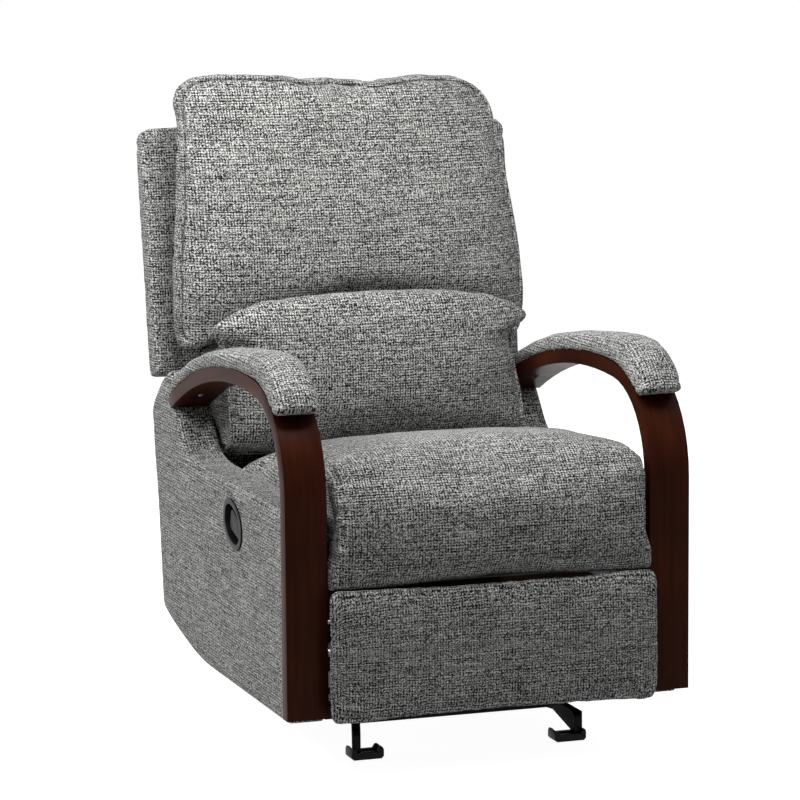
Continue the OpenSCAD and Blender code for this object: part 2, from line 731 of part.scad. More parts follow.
module base_crossbars() {
    color(black_steel) place() for (s = [-1, 1]) difference() {
        translate([0, base_mid + s * (base_mid - base_front - leg_run), base_h - base_t - crossbar_h])
            scale([1, -s, 1]) {
            translate([-rail_x, 0, 0]) cube([2 * rail_x, crossbar_t, crossbar_h]);
            pair() translate([rail_x - crossbar_t, 0, 0]) cube([crossbar_t, crossbar_tab, crossbar_h]);
        }
        pair() base_bolt_set(fit);
    }
}
module base_bolts() { color(zinc) place() pair() base_bolt_set(0); }
module foot_caps() {
    color(black_plastic) place() pair() for (y = [base_front, base_rear]) difference() {
        // a low boat with a snub lip at either end
        translate([foot_in, y + foot_l / 2, 0]) rotate([quarter, 0, 0]) linear_extrude(height = foot_l)
            for (turned = [0, 1]) translate([turned * foot_w, 0]) mirror([turned, 0]) polygon([
                [foot_w / 2, 0], [foot_slant, 0], [0, foot_slant], [0, foot_h - foot_slant],
                    [foot_slant / 2, foot_h],
                [1.5 * foot_slant, foot_h - 1], [2.5 * foot_slant, foot_low], [foot_w / 2, foot_low]]);
        translate([foot_in + foot_wall - fit, y - leg_ext - fit, foot_flange_z - fit])
            cube([foot_w - 2 * foot_wall, 2 * (leg_ext + fit), foot_h]);
        translate([0, 0, foot_flange_z - fit]) linear_extrude(height = foot_h) rail_plan(-fit,
            base_t + 2 * fit);
    }
}
seat_plate_l = 150;
module spring_seats() {
    color(black_steel) place() pair()
        bar(spring_x - spring_plate_w / 2, base_mid - seat_plate_l / 2, base_h - 2 * base_t,
            rail_x - spring_x + spring_plate_w / 2, seat_plate_l, base_t);
}
spring_z = base_h - base_t;
spring_top = cross_z - base_t;
spring_rings = 8;
function spring_path() = [for (k = [0:spring_turns * spring_rings]) let (a = full_turn * k / spring_rings)
    [spring_d / 2 * cos(a), spring_d / 2 * sin(a),
     spring_wire / 2 + fit / 2 + (spring_top - spring_z - spring_wire - fit)
         * k / (spring_turns * spring_rings)]];
module rocker_springs() {
    color(zinc) place() pair() for (s = [-1, 1]) translate([spring_x, base_mid + s * spring_half, spring_z])
        wire(spring_path(), spring_wire / 2, 6);
}

// seat plates with the slot of the cross links, bores for the torque tube and the back
tongue_w = 36;
tongue_z = 100;
beam_z = mount_z;
beam_top = 310;
beam_end = 690;
tab_w = 44;
tab_top = 350;
tab_y = [250, 500];
journal_d = 12;
function fold_b(a) = crank_z - 2 * link_half * sin(a);
link_open = 14;
module seat_plates() {
    color(zinc) place() pair() difference() {
        side_view(plate_in, link_t) difference() {
            union() {
                translate([crank_y - tongue_w / 2, tongue_z]) square([tongue_w, beam_top - tongue_z]);
                translate([crank_y - tongue_w / 2, beam_z]) square([beam_end - crank_y + tongue_w / 2,
                    beam_top - beam_z]);
                for (y = tab_y) translate([y - tab_w / 2, beam_z]) square([tab_w, tab_top - beam_z]);
                translate([pivot_y, pivot_z]) circle(r = tab_w / 2, $fn = round_n);
            }
            strap([crank_y, fold_b(link_folded)], [crank_y, fold_b(link_open)], pivot_d + 4 * run_fit);
            translate([crank_y, crank_z]) circle(d = journal_d + 2 * run_fit, $fn = round_n);
            translate([pivot_y, pivot_z]) circle(d = journal_d + 2 * run_fit, $fn = round_n);
        }
        seat_stud_set(fit);
        frame_bolt_set(fit);
    }
}
stud_head = 3;
module seat_stud_set(grow) {
    for (y = stud_y) {
        pin_x(plate_in - grow, y, stud_z, link_t + plate_gap + rail_t - plate_gap / 2 + grow,
            stud_d + 2 * grow);
        pin_x(plate_in - stud_head, y, stud_z, stud_head, 1.8 * stud_d);
    }
}
module seat_studs() { color(zinc) place() pair() seat_stud_set(0); }
frame_z = 318;
frame_h = 54;
frame_rail = 22;
frame_y = 20;
frame_end = 552;
frame_top = frame_z + frame_h;
frame_bolt_z = 335;
module frame_bolt_set(grow) {
    for (y = tab_y) pin_x(plate_in - frame_rail / 2 - grow, y, frame_bolt_z,
        link_t + frame_rail / 2 + 2 * grow, pivot_d + 2 * grow);
}
module frame_bolts() { color(zinc) place() pair() frame_bolt_set(0); }
module seat_frame() {
    color(plywood) place() difference() {
        translate([-plate_in, frame_y, frame_z]) cube([2 * plate_in, frame_end - frame_y, frame_h]);
        translate([frame_rail - plate_in, frame_y + frame_rail, frame_z - over])
            cube([2 * (plate_in - frame_rail), frame_end - frame_y - 2 * frame_rail, frame_h + 2 * over]);
        pair() frame_bolt_set(fit);
    }
}
// sinuous springs: a flat wire that waves from rail to rail
wave_half = 18;
wave_w = 4;
seat_spring_x = [-180, -90, 0, 90, 180];
seat_waves = 7;
back_spring_x = [-165, -55, 55, 165];
back_waves = 9;
function wave_path(x, from, to, waves) = [for (k = [0:6 * waves])
    [x + wave_half * sin(60 * k), mix(from, to, k / (6 * waves))]];
function path_side(p, i) = let (m = len(p) - 1, t = unit(p[min(i + 1, m)] - p[max(i - 1, 0)])) [-t.y, t.x];
module ribbon(p, w) {
    m = len(p) - 1;
    polygon(concat([for (i = [0:m]) p[i] - w / 2 * path_side(p, i)],
                   [for (i = [m:-1:0]) p[i] + w / 2 * path_side(p, i)]));
}
module seat_spring_set(grow) {
    for (x = seat_spring_x) translate([0, 0, frame_top])
        linear_extrude(height = wave_w + grow)
            ribbon(wave_path(x, frame_y + frame_rail / 2, frame_end - frame_rail / 2, seat_waves),
                wave_w + 2 * grow);
}
module seat_springs() { color(black_steel) place() seat_spring_set(0); }
clip_l = 12;
clip_side = 10;
clip_h = 7;
module spring_clips() {
    color(zinc) place() difference() {
        for (x = seat_spring_x, y = [frame_y + frame_rail / 2, frame_end - frame_rail / 2])
            translate([x - clip_side, y - clip_l / 2, frame_top]) cube([2 * clip_side, clip_l, clip_h]);
        seat_spring_set(fit);
    }
}

// the seat cushion
deck_z = frame_top + clip_h + fit;
seat_half = inner_half - soft_gap;
seat_soft = 26;
seat_flare = 6;
seat_mid = [[-22, 313], [4, seat_roll_z], [90, 322], [330, 352], [545, 384], [seat_depth - 2, 418],
    [seat_depth - 6, 450],
            [530, 462], [430, 480], [310, 505], [200, 523], [100, seat_crown_z], [30, 529], [-14, 511],
            [-seat_nose + 5, 475], [-seat_nose, 430], [-seat_nose, 370], [-seat_nose + 5, 329]];
seat_side = [[-22, 313], [4, seat_roll_z], [90, 322], [330, 352], [545, 384], [seat_depth - 4, 410],
    [seat_depth - 10, 430],
             [530, 440], [430, 462], [310, 492], [200, 504], [100, 510], [30, 507], [-14, 493],
             [-seat_nose + 5, 463], [-seat_nose, 424], [-seat_nose, 370], [-seat_nose + 5, 329]];
module seat_cushion() {
    color(tweed) place() difference() {
        cushion(seat_mid, seat_side, seat_half, seat_soft, 8, 3, -2, seat_flare, heart = [0, 420]);
        translate([-chair_w / 2, frame_y - fit, seat_roll_z - frame_h])
            cube([chair_w, seat_depth, deck_z - seat_roll_z + frame_h]);
    }
}

// the reclining back
back_edge = 10;
stile_w = 26;
stile_t = 22;
stile_in = 28;
stile_z = 8;
stile_top = 640;
stile_half = back_low_half - 4;
ladder_z = [stile_z, 300, stile_top - 40];
ladder_h = 40;
bracket_w = 28;
bracket_in = 38;
bracket_z = [40, 180];
back_round = 22;
function back_points() = let (h = chair_w / 2, l = back_low_half - fit, r = back_round, c = [h - r,
    back_l - r]) concat(
    [[-l, 0], [l, 0], [l, wing_clear_u - r], [l + r, wing_clear_u], [h, wing_clear_u]],
    arc(c, r, 0, quarter, 4), arc([-c.x, c.y], r, quarter, half_turn, 4),
    [[-h, wing_clear_u], [-l - r, wing_clear_u], [-l, wing_clear_u - r]]);
module outer_back() {
    line = back_points();
    // the rear edges are rounded, and the front ones too
    stops = concat([for (a = [0:30:quarter]) back_edge * [cos(a) - 1, 1 - sin(a)]],
                   [for (a = [quarter:-30:0]) [-back_t, 0] + back_edge * [1 - cos(a), 1 - sin(a)]]);
    color(tweed) back_place() difference() {
        skin([for (s = stops) [for (p = inset(line, s.y)) [p.x, s.x, p.y]]],
             [for (s = [stops[0], stops[len(stops) - 1]]) [0, s.x, back_l * 0.6]]);
        translate([-stile_half - fit, -back_t - over, stile_z - fit])
            cube([2 * (stile_half + fit), back_t - stile_in + over + fit, stile_top - stile_z + 2 * fit]);
        pair() back_bolt_set(fit);
    }
}
module back_frame() {
    color(plywood) back_place() difference() {
        union() {
            pair() translate([stile_half - stile_w, -stile_in - stile_t, stile_z])
                cube([stile_w, stile_t, stile_top - stile_z]);
            for (z = ladder_z) translate([-stile_half + stile_w, -stile_in - stile_t, z])
                cube([2 * (stile_half - stile_w), stile_t, ladder_h]);
        }
        pair() back_bolt_set(fit);
    }
}
module back_springs() {
    color(black_steel) back_place() for (x = back_spring_x) translate([0, -stile_in - stile_t, 0])
        rotate([quarter, 0, 0]) linear_extrude(height = wave_w - fit)
            ribbon(wave_path(x, stile_z + ladder_h / 2, stile_top - ladder_h / 2, back_waves), wave_w);
}
back_bolt_bite = 22;
module back_bolt_set(grow) {
    for (z = bracket_z) translate([back_low_half - back_bolt_bite - grow, -bracket_in, z]) rotate([0,
        quarter, 0]) {
        cylinder(d = pivot_d + 2 * grow, h = back_bolt_bite + link_t + 2 * grow, $fn = round_n);
        translate([0, 0, back_bolt_bite + link_t + grow]) cylinder(d = 1.7 * pivot_d, h = stud_head - grow,
            $fn = round_n);
    }
}
module back_bolts() { color(zinc) back_place() pair() back_bolt_set(0); }
function from_back(p) = [back_foot_y + p.x * cos(back_lean) + p.y * sin(back_lean),
                         back_foot_z - p.x * sin(back_lean) + p.y * cos(back_lean)];
module back_brackets() {
    low = from_back([-bracket_in, bracket_z[0]]);
    high = from_back([-bracket_in, bracket_z[1]]);
    color(zinc) difference() {
        place() pair() side_view(back_low_half, link_t) difference() {
            union() {
                strap([pivot_y, pivot_z], low, bracket_w + 6);
                strap(low, high, bracket_w);
            }
            translate([pivot_y, pivot_z]) circle(d = journal_d + 2 * run_fit, $fn = round_n);
        }
        back_place() pair() back_bolt_set(fit);
    }
}
module back_pivots() {
    color(zinc) place() pair() {
        pin_x(back_low_half, pivot_y, pivot_z, plate_out - back_low_half, journal_d);
        pin_x(back_low_half - stud_head, pivot_y, pivot_z, stud_head, 1.5 * journal_d);
    }
}
pillow_soft = 34;
pillow_top = back_foot_z + back_l * cos(back_lean) + pillow_rise;
pillow_mid = [[611, 646], [700, 640], [786, 642], [800, 690], [818, 790], [833, 880], [846, 950], [868,
    1000],
              [866, 1050], [812, pillow_top], [762, pillow_top - 16], [718, 995], [672, 880], [640, 790],
                  [614, 712]];
pillow_side = [[690, 636], [735, 630], [780, 632], [797, 700], [816, 790], [832, 880], [846, 950], [866,
    1000],
               [868, 1050], [842, pillow_top - 6], [812, pillow_top - 26], [784, 985], [752, 880], [728,
                   790], [702, 712]];
// the pillow is narrower at its top, and the lumbar cushion widens above the arms
pillow_widths = [[646, 1], [730, 0.962], [880, 0.935], [1035, 0.89], [1100, 0.876]];
lumbar_widths = [[628, 1], [660, 1.14]];
module head_pillow() {
    color(tweed) place() difference() {
        cushion(pillow_mid, pillow_side, pillow_half, pillow_soft, 8, 4, widths = pillow_widths);
        translate([0, back_foot_y, back_foot_z]) rotate([-back_lean, 0, 0])
            translate([-chair_w, -back_t - fit, -back_l]) cube([2 * chair_w, back_t * 3, 2 * back_l + fit]);
    }
}
lumbar_half = inner_half - 4;
lumbar_soft = 26;
lumbar_mid = [[532, 472], [600, 462], [680, 452], [732, 450], [760, 520], [776, 590], [778, 630], [700,
    632],
              [602, 634], [598, 688], [586, 719], [560, 714], [530, 660], [514, 590], [516, 520]];
lumbar_side = [[576, 480], [620, 470], [680, 462], [728, 460], [756, 520], [768, 580], [770, 606], [710,
    612],
               [648, 616], [630, 632], [620, 642], [609, 640], [596, 620], [580, 580], [570, 525]];
module lumbar_cushion() {
    color(tweed) place() difference() {
        cushion(lumbar_mid, lumbar_side, lumbar_half, lumbar_soft, 7, 4, widths = lumbar_widths);
        translate([0, back_foot_y, back_foot_z]) rotate([-back_lean, 0, 0])
            translate([-chair_w, -back_t - fit, -back_l]) cube([2 * chair_w, back_t * 3, 2 * back_l]);
    }
}

// the footrest linkage, drawn folded: crank A, cross link B, lift link C, stay D
tube_d = 20;
end_a_yz = [crank_y - fold_run * 2, crank_z - fold_drop * 2];
knee_yz = [crank_y - fold_run, crank_z - fold_drop];
slot_yz = [crank_y, crank_z - fold_drop * 2];
end_b_yz = [crank_y - fold_run * 2, crank_z];
end_c_yz = [crank_y - fold_run * 4, crank_z];
knee_c_yz = [crank_y - fold_run * 3, crank_z - fold_drop];
module pin_at(p, from, to) { pin_x(from, p.x, p.y, to - from, pivot_d); }
module link(from, a, b, bores, slack = run_fit) {
    side_view(from - link_t, link_t) difference() {
        strap(a, b, link_w);
        for (p = bores) translate(p) circle(d = pivot_d + 2 * slack, $fn = round_n);
    }
}
module torque_tube() {
    color(black_steel) place() {
        pin_x(fit - drive_out + link_t, crank_y, crank_z, 2 * (drive_out - link_t - fit), tube_d);
        pair() pin_x(drive_out - link_t - over, crank_y, crank_z, plate_out - drive_out + link_t + over,
            journal_d);
    }
}
module drive_links() {
    color(zinc) place() pair() side_view(drive_out - link_t, link_t) difference() {
        union() {
            strap([crank_y, crank_z], end_a_yz, link_w);
            translate([crank_y, crank_z]) circle(d = journal_d + 8, $fn = round_n);
        }
        translate([crank_y, crank_z]) circle(d = journal_d + 2 * run_fit, $fn = round_n);
        for (p = [knee_yz, end_a_yz]) translate(p) circle(d = pivot_d + 2 * run_fit, $fn = round_n);
    }
}
module drive_rivets() {
    color(zinc) place() pair() for (p = [knee_yz, end_a_yz]) pin_at(p, lift_out - link_t, drive_out);
}
module cross_links() { color(zinc) place() pair() link(lift_out, slot_yz, end_b_yz, [slot_yz, knee_yz,
    end_b_yz]); }
module cross_rivets() {
    color(zinc) place() pair() {
        pin_at(slot_yz, lift_out - link_t, plate_out);
        pin_at(end_b_yz, lift_out - link_t, drive_out);
    }
}
module lift_links() { color(zinc) place() pair() link(lift_out, end_a_yz, end_c_yz, [end_a_yz, knee_c_yz,
    end_c_yz]); }
module lift_rivets() {
    color(zinc) place() pair() {
        pin_at(knee_c_yz, lift_out - link_t, drive_out);
        pin_at(end_c_yz, bracket_out - link_t, lift_out);
    }
}
stay_slack = 0.5;
module stay_links() {
    color(zinc) place() pair() side_view(drive_out - link_t, link_t) difference() {
        strap(end_b_yz, knee_c_yz, link_w);
        translate(end_b_yz) circle(d = pivot_d + 2 * run_fit, $fn = round_n);
        translate(knee_c_yz) circle(d = pivot_d + 2 * stay_slack, $fn = round_n);
    }
}
flange_w = 26;
flange_z = 132;
flange_top = 284;
foot_bolt_z = [150, 262];
foot_bolt_d = 6;
module foot_bolt_set(grow) {
    for (z = foot_bolt_z) translate([bracket_out - flange_w / 2 - link_t, foot_y + link_t + grow, z])
        rotate([quarter, 0, 0]) {
        cylinder(d = foot_bolt_d + 2 * grow, h = link_t + foot_board_t * 0.8 + 2 * grow, $fn = round_n);
        translate([0, 0, -stud_head]) cylinder(d = 2 * foot_bolt_d, h = stud_head, $fn = round_n);
    }
}
module foot_brackets() {
    color(zinc) place() pair() difference() {
        union() {
            side_view(bracket_out - link_t, link_t) difference() {
                union() {
                    strap(end_c_yz, [foot_y + link_w, flange_top - link_w], link_w);
                    translate([foot_y, flange_z]) square([link_w * 1.2, flange_top - flange_z]);
                }
                translate(end_c_yz) circle(d = pivot_d + 2 * run_fit, $fn = round_n);
            }
            translate([bracket_out - flange_w - link_t, foot_y, flange_z]) cube([flange_w + link_t, link_t,
                flange_top - flange_z]);
        }
        foot_bolt_set(fit);
    }
}
foot_half = inner_half - 7;
module foot_board() {
    color(plywood) place() difference() {
        translate([-foot_half, foot_y - foot_board_t, foot_board_z]) cube([2 * foot_half, foot_board_t,
            foot_board_h]);
        pair() foot_bolt_set(fit);
    }
}
module foot_bolts() { color(zinc) place() pair() foot_bolt_set(0); }
foot_pad_half = inner_half + 4;
foot_pad_y = foot_y - foot_board_t - fit;
foot_pad_top = 303;
foot_mid = [[foot_pad_y, 108], [foot_pad_y, 200], [foot_pad_y, 286], [foot_pad_y - 8, 297],
    [foot_pad_y - 18, foot_pad_top - 1],
            [foot_pad_y - foot_pad_t + 4, 293], [foot_pad_y - foot_pad_t, 250],
                [foot_pad_y - foot_pad_t - 2, 190],
            [foot_pad_y - foot_pad_t, 130], [foot_pad_y - foot_pad_t + 6, foot_pad_z + 4],
                [foot_pad_y - 14, foot_pad_z]];
module foot_pad() {
    color(tweed) place() difference() {
        cushion(foot_mid, foot_mid, foot_pad_half, 14, 6);
        translate([-chair_w / 2, foot_pad_y, 0]) cube([chair_w, foot_board_t, foot_board_h * 2]);
    }
}

base_rails();
base_crossbars();
foot_caps();
spring_seats();
base_bolts();
rocker_springs();
side_panel_left();
side_panel_right();
side_boards();
arm_left();
arm_right();
arm_pad_left();
arm_pad_right();
arm_screws();
arm_bolts();
front_rail();
rear_rail();
cross_rails();
spring_plates();
rocker_cams();
cam_bolts();
mount_rails();
rail_bolts();
latch_cup();
latch_pin();
release_cable();
cable_clips();
latch_lever();
release_hook();
seat_plates();
seat_studs();
seat_frame();
frame_bolts();
seat_springs();
spring_clips();
seat_cushion();
back_brackets();
back_bolts();
back_pivots();
back_frame();
back_springs();
outer_back();
head_pillow();
lumbar_cushion();
torque_tube();
drive_links();
drive_rivets();
cross_links();
cross_rivets();
lift_links();
lift_rivets();
stay_links();
foot_brackets();
foot_board();
foot_pad();
foot_bolts();
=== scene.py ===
import json
import math
import bmesh
import bpy
import numpy as np
from mathutils import Matrix, Vector, noise
from mathutils.bvhtree import BVHTree
from mathutils.kdtree import KDTree


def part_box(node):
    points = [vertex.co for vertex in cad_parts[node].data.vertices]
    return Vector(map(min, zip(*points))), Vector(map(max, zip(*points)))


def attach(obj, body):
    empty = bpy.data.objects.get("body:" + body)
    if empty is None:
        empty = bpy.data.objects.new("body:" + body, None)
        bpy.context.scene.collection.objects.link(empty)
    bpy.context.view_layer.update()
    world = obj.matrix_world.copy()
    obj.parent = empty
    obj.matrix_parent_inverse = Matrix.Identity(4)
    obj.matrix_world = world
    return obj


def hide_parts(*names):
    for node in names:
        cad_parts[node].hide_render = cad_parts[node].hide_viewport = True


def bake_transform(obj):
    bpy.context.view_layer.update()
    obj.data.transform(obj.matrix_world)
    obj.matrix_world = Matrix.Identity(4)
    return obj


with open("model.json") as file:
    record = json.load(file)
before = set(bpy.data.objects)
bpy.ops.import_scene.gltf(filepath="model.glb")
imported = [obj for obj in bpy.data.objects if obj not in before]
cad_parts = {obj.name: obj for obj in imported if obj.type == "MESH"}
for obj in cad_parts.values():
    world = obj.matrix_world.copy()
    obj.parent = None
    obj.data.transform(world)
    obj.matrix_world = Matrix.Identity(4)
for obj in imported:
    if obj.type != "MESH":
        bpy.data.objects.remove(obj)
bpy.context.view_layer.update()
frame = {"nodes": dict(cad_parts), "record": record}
bodyOf = {node: body for body, nodes in frame["record"]["behaviour"]["bodies"].items() for node in nodes}
setback = 0.4350  # the posts' front face lies this far ahead of the origin
scene = bpy.context.scene
scene.view_settings.view_transform = "Standard"


# helpers
def linear(hexColor, alpha=1.0):
    parts = [int(hexColor[i:i + 2], 16) / 255 for i in (1, 3, 5)]
    return [c / 12.92 if c <= 0.04045 else ((c + 0.055) / 1.055) ** 2.4 for c in parts] + [alpha]


def addNode(tree, kind, inputs=None, **settings):
    made = tree.nodes.new(kind)
    for key, value in settings.items():
        setattr(made, key, value)
    for key, value in (inputs or {}).items():
        if isinstance(value, bpy.types.NodeSocket):
            tree.links.new(value, made.inputs[key])
        else:
            made.inputs[key].default_value = value
    return made


def newMaterial(name):
    made = bpy.data.materials.new(name)
    made.use_nodes = True
    tree = made.node_tree
    return made, tree, tree.nodes["Principled BSDF"]


def ramp(tree, fac, stops):
    made = addNode(tree, "ShaderNodeValToRGB", {"Fac": fac})
    elements = made.color_ramp.elements
    while len(elements) < len(stops):
        elements.new(0.5)
    for element, (place, color) in zip(elements, stops):
        element.position = place
        element.color = linear(color)
    return made.outputs["Color"]


def deselect():
    if bpy.context.object and bpy.context.object.mode != "OBJECT":
        bpy.ops.object.mode_set(mode="OBJECT")
    bpy.ops.object.select_all(action="DESELECT")


def activate(obj):
    deselect()
    obj.select_set(True)
    bpy.context.view_layer.objects.active = obj


def applyModifier(obj, kind, **settings):
    activate(obj)
    mod = obj.modifiers.new(kind.title(), kind)
    for key, value in settings.items():
        setattr(mod, key, value)
    bpy.ops.object.modifier_apply(modifier=mod.name)


def points(obj):
    co = np.empty(len(obj.data.vertices) * 3)
    obj.data.vertices.foreach_get("co", co)
    return co.reshape(-1, 3)


def setPoints(obj, co):
    obj.data.vertices.foreach_set("co", np.asarray(co, float).ravel())
    obj.data.update()


def copyNode(node, name, merge=0.00005):
    source = frame["nodes"][node]
    made = bpy.data.objects.new(name, source.data.copy())
    made.data.materials.clear()
    scene.collection.objects.link(made)
    work = bmesh.new()
    work.from_mesh(made.data)
    bmesh.ops.remove_doubles(work, verts=work.verts, dist=merge)
    work.to_mesh(made.data)
    work.free()
    return made


def finishPiece(obj, node, material, smooth=30):
    obj.data.materials.clear()
    obj.data.materials.append(material)
    activate(obj)
    bpy.ops.object.shade_smooth_by_angle(angle=math.radians(smooth))
    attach(obj, bodyOf[node])
    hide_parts(node)
    return obj


# camera, light, floor
cameraSet = {"place": (-1.959, -5.676, 1.393), "lens": 157.28, "shift": (-0.00913, -0.01147), "roll": 0.4191,
             "right": (0.94485, -0.32750, 0.0), "up": (0.04486, 0.12944, 0.99057),
             "back": (-0.32441, -0.93594, 0.13699), "sensor": 36, "far": 60}
camData = bpy.data.cameras.new("camera")
cam = bpy.data.objects.new("camera", camData)
scene.collection.objects.link(cam)
scene.camera = cam
right, up, back = (Vector(cameraSet[k]) for k in ("right", "up", "back"))
roll = math.radians(cameraSet["roll"])
axisX = math.cos(roll) * right - math.sin(roll) * up
axisY = math.sin(roll) * right + math.cos(roll) * up
turn = Matrix((axisX, axisY, back)).transposed().to_4x4()
cam.matrix_world = Matrix.Translation(cameraSet["place"]) @ turn
camData.lens = cameraSet["lens"]
camData.sensor_width = cameraSet["sensor"]
camData.shift_x, camData.shift_y = cameraSet["shift"]
camData.clip_end = cameraSet["far"]

lights = {
    "highLight": {"place": (-0.2, -0.7, 1.95), "aim": (0, 0.2, 0.85), "size": 0.9, "power": 18},
    "leftTopLight": {"place": (-2.4, 0.5, 2.6), "aim": (0, 0, 0.6), "size": 1.5, "power": 58},
    "rearLight": {"place": (1.6, 2.8, 2.0), "aim": (0, 0, 0.6), "size": 2.0, "power": 31},
    "rightLight": {"place": (2.4, -0.8, 2.4), "aim": (0, 0, 0.6), "size": 1.5, "power": 13},
}
for name, spec in lights.items():
    lamp = bpy.data.lights.new(name, "AREA")
    lamp.shape, lamp.size, lamp.energy = "SQUARE", spec["size"], spec["power"]
    obj = bpy.data.objects.new(name, lamp)
    scene.collection.objects.link(obj)
    obj.location = spec["place"]
    obj.rotation_euler = (Vector(spec["aim"]) - Vector(spec["place"])).to_track_quat("-Z", "Y").to_euler()

studio = {"ambient": 0.03, "floorGlow": 0.96, "floorColor": "#b4b4b4", "floorRough": 0.9, "floorSize": 60}
world = bpy.data.worlds.new("studio")
world.use_nodes = True
scene.world = world
tree = world.node_tree
tree.nodes.clear()


def seesBackground(tree):
    # the white backdrop shows to the camera and in gloss and glass, and lights nothing
    seen = addNode(tree, "ShaderNodeLightPath")
    wide = addNode(tree, "ShaderNodeMath", {0: seen.outputs["Is Camera Ray"], 1: seen.outputs["Is Glossy Ray"]},
                   operation="ADD")
    return addNode(tree, "ShaderNodeMath", {0: wide.outputs[0], 1: seen.outputs["Is Transmission Ray"]},
                   operation="ADD", use_clamp=True).outputs[0]


soft = addNode(tree, "ShaderNodeBackground", {"Color": linear("#ffffff"), "Strength": studio["ambient"]})
plain = addNode(tree, "ShaderNodeBackground", {"Color": linear("#ffffff"), "Strength": 1.0})
both = addNode(tree, "ShaderNodeMixShader", {0: seesBackground(tree), 1: soft.outputs[0], 2: plain.outputs[0]})
addNode(tree, "ShaderNodeOutputWorld", {"Surface": both.outputs[0]})

deselect()
bpy.ops.mesh.primitive_plane_add(size=studio["floorSize"], location=(0, 0, 0))
floor = bpy.context.object
floor.name = "floor"
paper, tree, shader = newMaterial("paleFloor")
shader.inputs["Base Color"].default_value = linear(studio["floorColor"])
shader.inputs["Roughness"].default_value = studio["floorRough"]
glow = addNode(tree, "ShaderNodeEmission", {"Color": linear("#ffffff"), "Strength": studio["floorGlow"]})
mixed = addNode(tree, "ShaderNodeAddShader", {0: shader.outputs[0], 1: glow.outputs[0]})
chosen = addNode(tree, "ShaderNodeMixShader", {0: seesBackground(tree), 1: shader.outputs[0], 2: mixed.outputs[0]})
tree.links.new(chosen.outputs[0], tree.nodes["Material Output"].inputs["Surface"])
floor.data.materials.append(paper)
print("camera and studio are set")


# materials
# slub tweed: plain-woven linen-look polyester, pale and dark yarns mixed at random, matt, with thin dark slubs
# that run across the chair, and a thread grid about 5 mm wide; the yarns between are drawn at 1.5 mm, about
# twice their size, so that they still show
tweedSet = {"end": 0.0016, "pick": 0.0013, "grid": 0.0048, "dots": 0.88, "net": 0.27, "slub": 0.80, "warp": 0.20,
            "cloud": 0.05, "bump": 0.45, "depth": 0.0008, "wanderScale": 9.0, "wander": (0.0012, 0.0010, 0.0),
            "slubYarn": (11.0, 430.0, 3.1, 1.0), "warpYarn": (430.0, 22.0, 7.7, 1.0), "cloudYarn": (9.0, 9.0, 1.3),
            "roughness": 0.93, "shine": 0.15, "sheen": 0.06, "sheenRoughness": 0.5,
            "tones": [(0.12, "#101112"), (0.35, "#414344"), (0.50, "#7a7b7b"), (0.65, "#b2b3b0"), (0.88, "#f6f6f1")]}


def tweedMaterial(name):
    made, tree, shader = newMaterial(name)
    place = addNode(tree, "ShaderNodeUVMap", uv_map="weave").outputs["UV"]

    def calc(kind, a, b=0.0, c=0.0):
        return addNode(tree, "ShaderNodeMath", {0: a, 1: b, 2: c}, operation=kind).outputs[0]

    def yarn(perMetreU, perMetreV, offset, detail=2.0):
        moved = addNode(tree, "ShaderNodeMapping", {"Vector": place, "Location": (offset, offset * 1.7, offset * 0.3),
                                                    "Scale": (perMetreU, perMetreV, 1.0)})
        made = addNode(tree, "ShaderNodeTexNoise", {"Vector": moved.outputs[0], "Scale": 1.0, "Detail": detail,
                                                    "Roughness": 0.6})
        return calc("SUBTRACT", made.outputs["Fac"], 0.5)

    wander = addNode(tree, "ShaderNodeTexNoise", {"Vector": place, "Scale": tweedSet["wanderScale"], "Detail": 2.0})
    bent = addNode(tree, "ShaderNodeVectorMath", {0: wander.outputs["Color"], 1: tweedSet["wander"], 2: place},
                   operation="MULTIPLY_ADD")
    parts = addNode(tree, "ShaderNodeSeparateXYZ", {0: bent.outputs[0]})
    row = calc("FLOOR", calc("DIVIDE", parts.outputs[1], tweedSet["pick"]))
    column = calc("FLOOR", calc("MULTIPLY_ADD", row, 0.5, calc("DIVIDE", parts.outputs[0], tweedSet["end"])))
    cell = addNode(tree, "ShaderNodeCombineXYZ", {0: column, 1: row}).outputs[0]
    picks = addNode(tree, "ShaderNodeTexWhiteNoise", {0: cell}, noise_dimensions="2D")
    dots = calc("SUBTRACT", picks.outputs["Value"], 0.5)
    netU = calc("SINE", calc("MULTIPLY", parts.outputs[0], 2 * math.pi / tweedSet["grid"]))
    netV = calc("SINE", calc("MULTIPLY", parts.outputs[1], 2 * math.pi / tweedSet["grid"]))
    net = calc("ADD", netU, netV)
    slub = yarn(*tweedSet["slubYarn"])
    warp = yarn(*tweedSet["warpYarn"])
    cloud = yarn(*tweedSet["cloudYarn"])
    tone = calc("MULTIPLY_ADD", dots, tweedSet["dots"], 0.5)
    tone = calc("MULTIPLY_ADD", net, tweedSet["net"] / 2, tone)
    tone = calc("MULTIPLY_ADD", slub, tweedSet["slub"], tone)
    tone = calc("MULTIPLY_ADD", warp, tweedSet["warp"], tone)
    tone = calc("MULTIPLY_ADD", cloud, tweedSet["cloud"], tone)
    tree.links.new(ramp(tree, tone, tweedSet["tones"]), shader.inputs["Base Color"])
    bump = addNode(tree, "ShaderNodeBump", {"Height": tone, "Strength": tweedSet["bump"],
                                            "Distance": tweedSet["depth"]})
    tree.links.new(bump.outputs[0], shader.inputs["Normal"])
    shader.inputs["Roughness"].default_value = tweedSet["roughness"]
    shader.inputs["Specular IOR Level"].default_value = tweedSet["shine"]
    shader.inputs["Sheen Weight"].default_value = tweedSet["sheen"]
    shader.inputs["Sheen Roughness"].default_value = tweedSet["sheenRoughness"]
    return made


tweed = tweedMaterial("slubTweed")


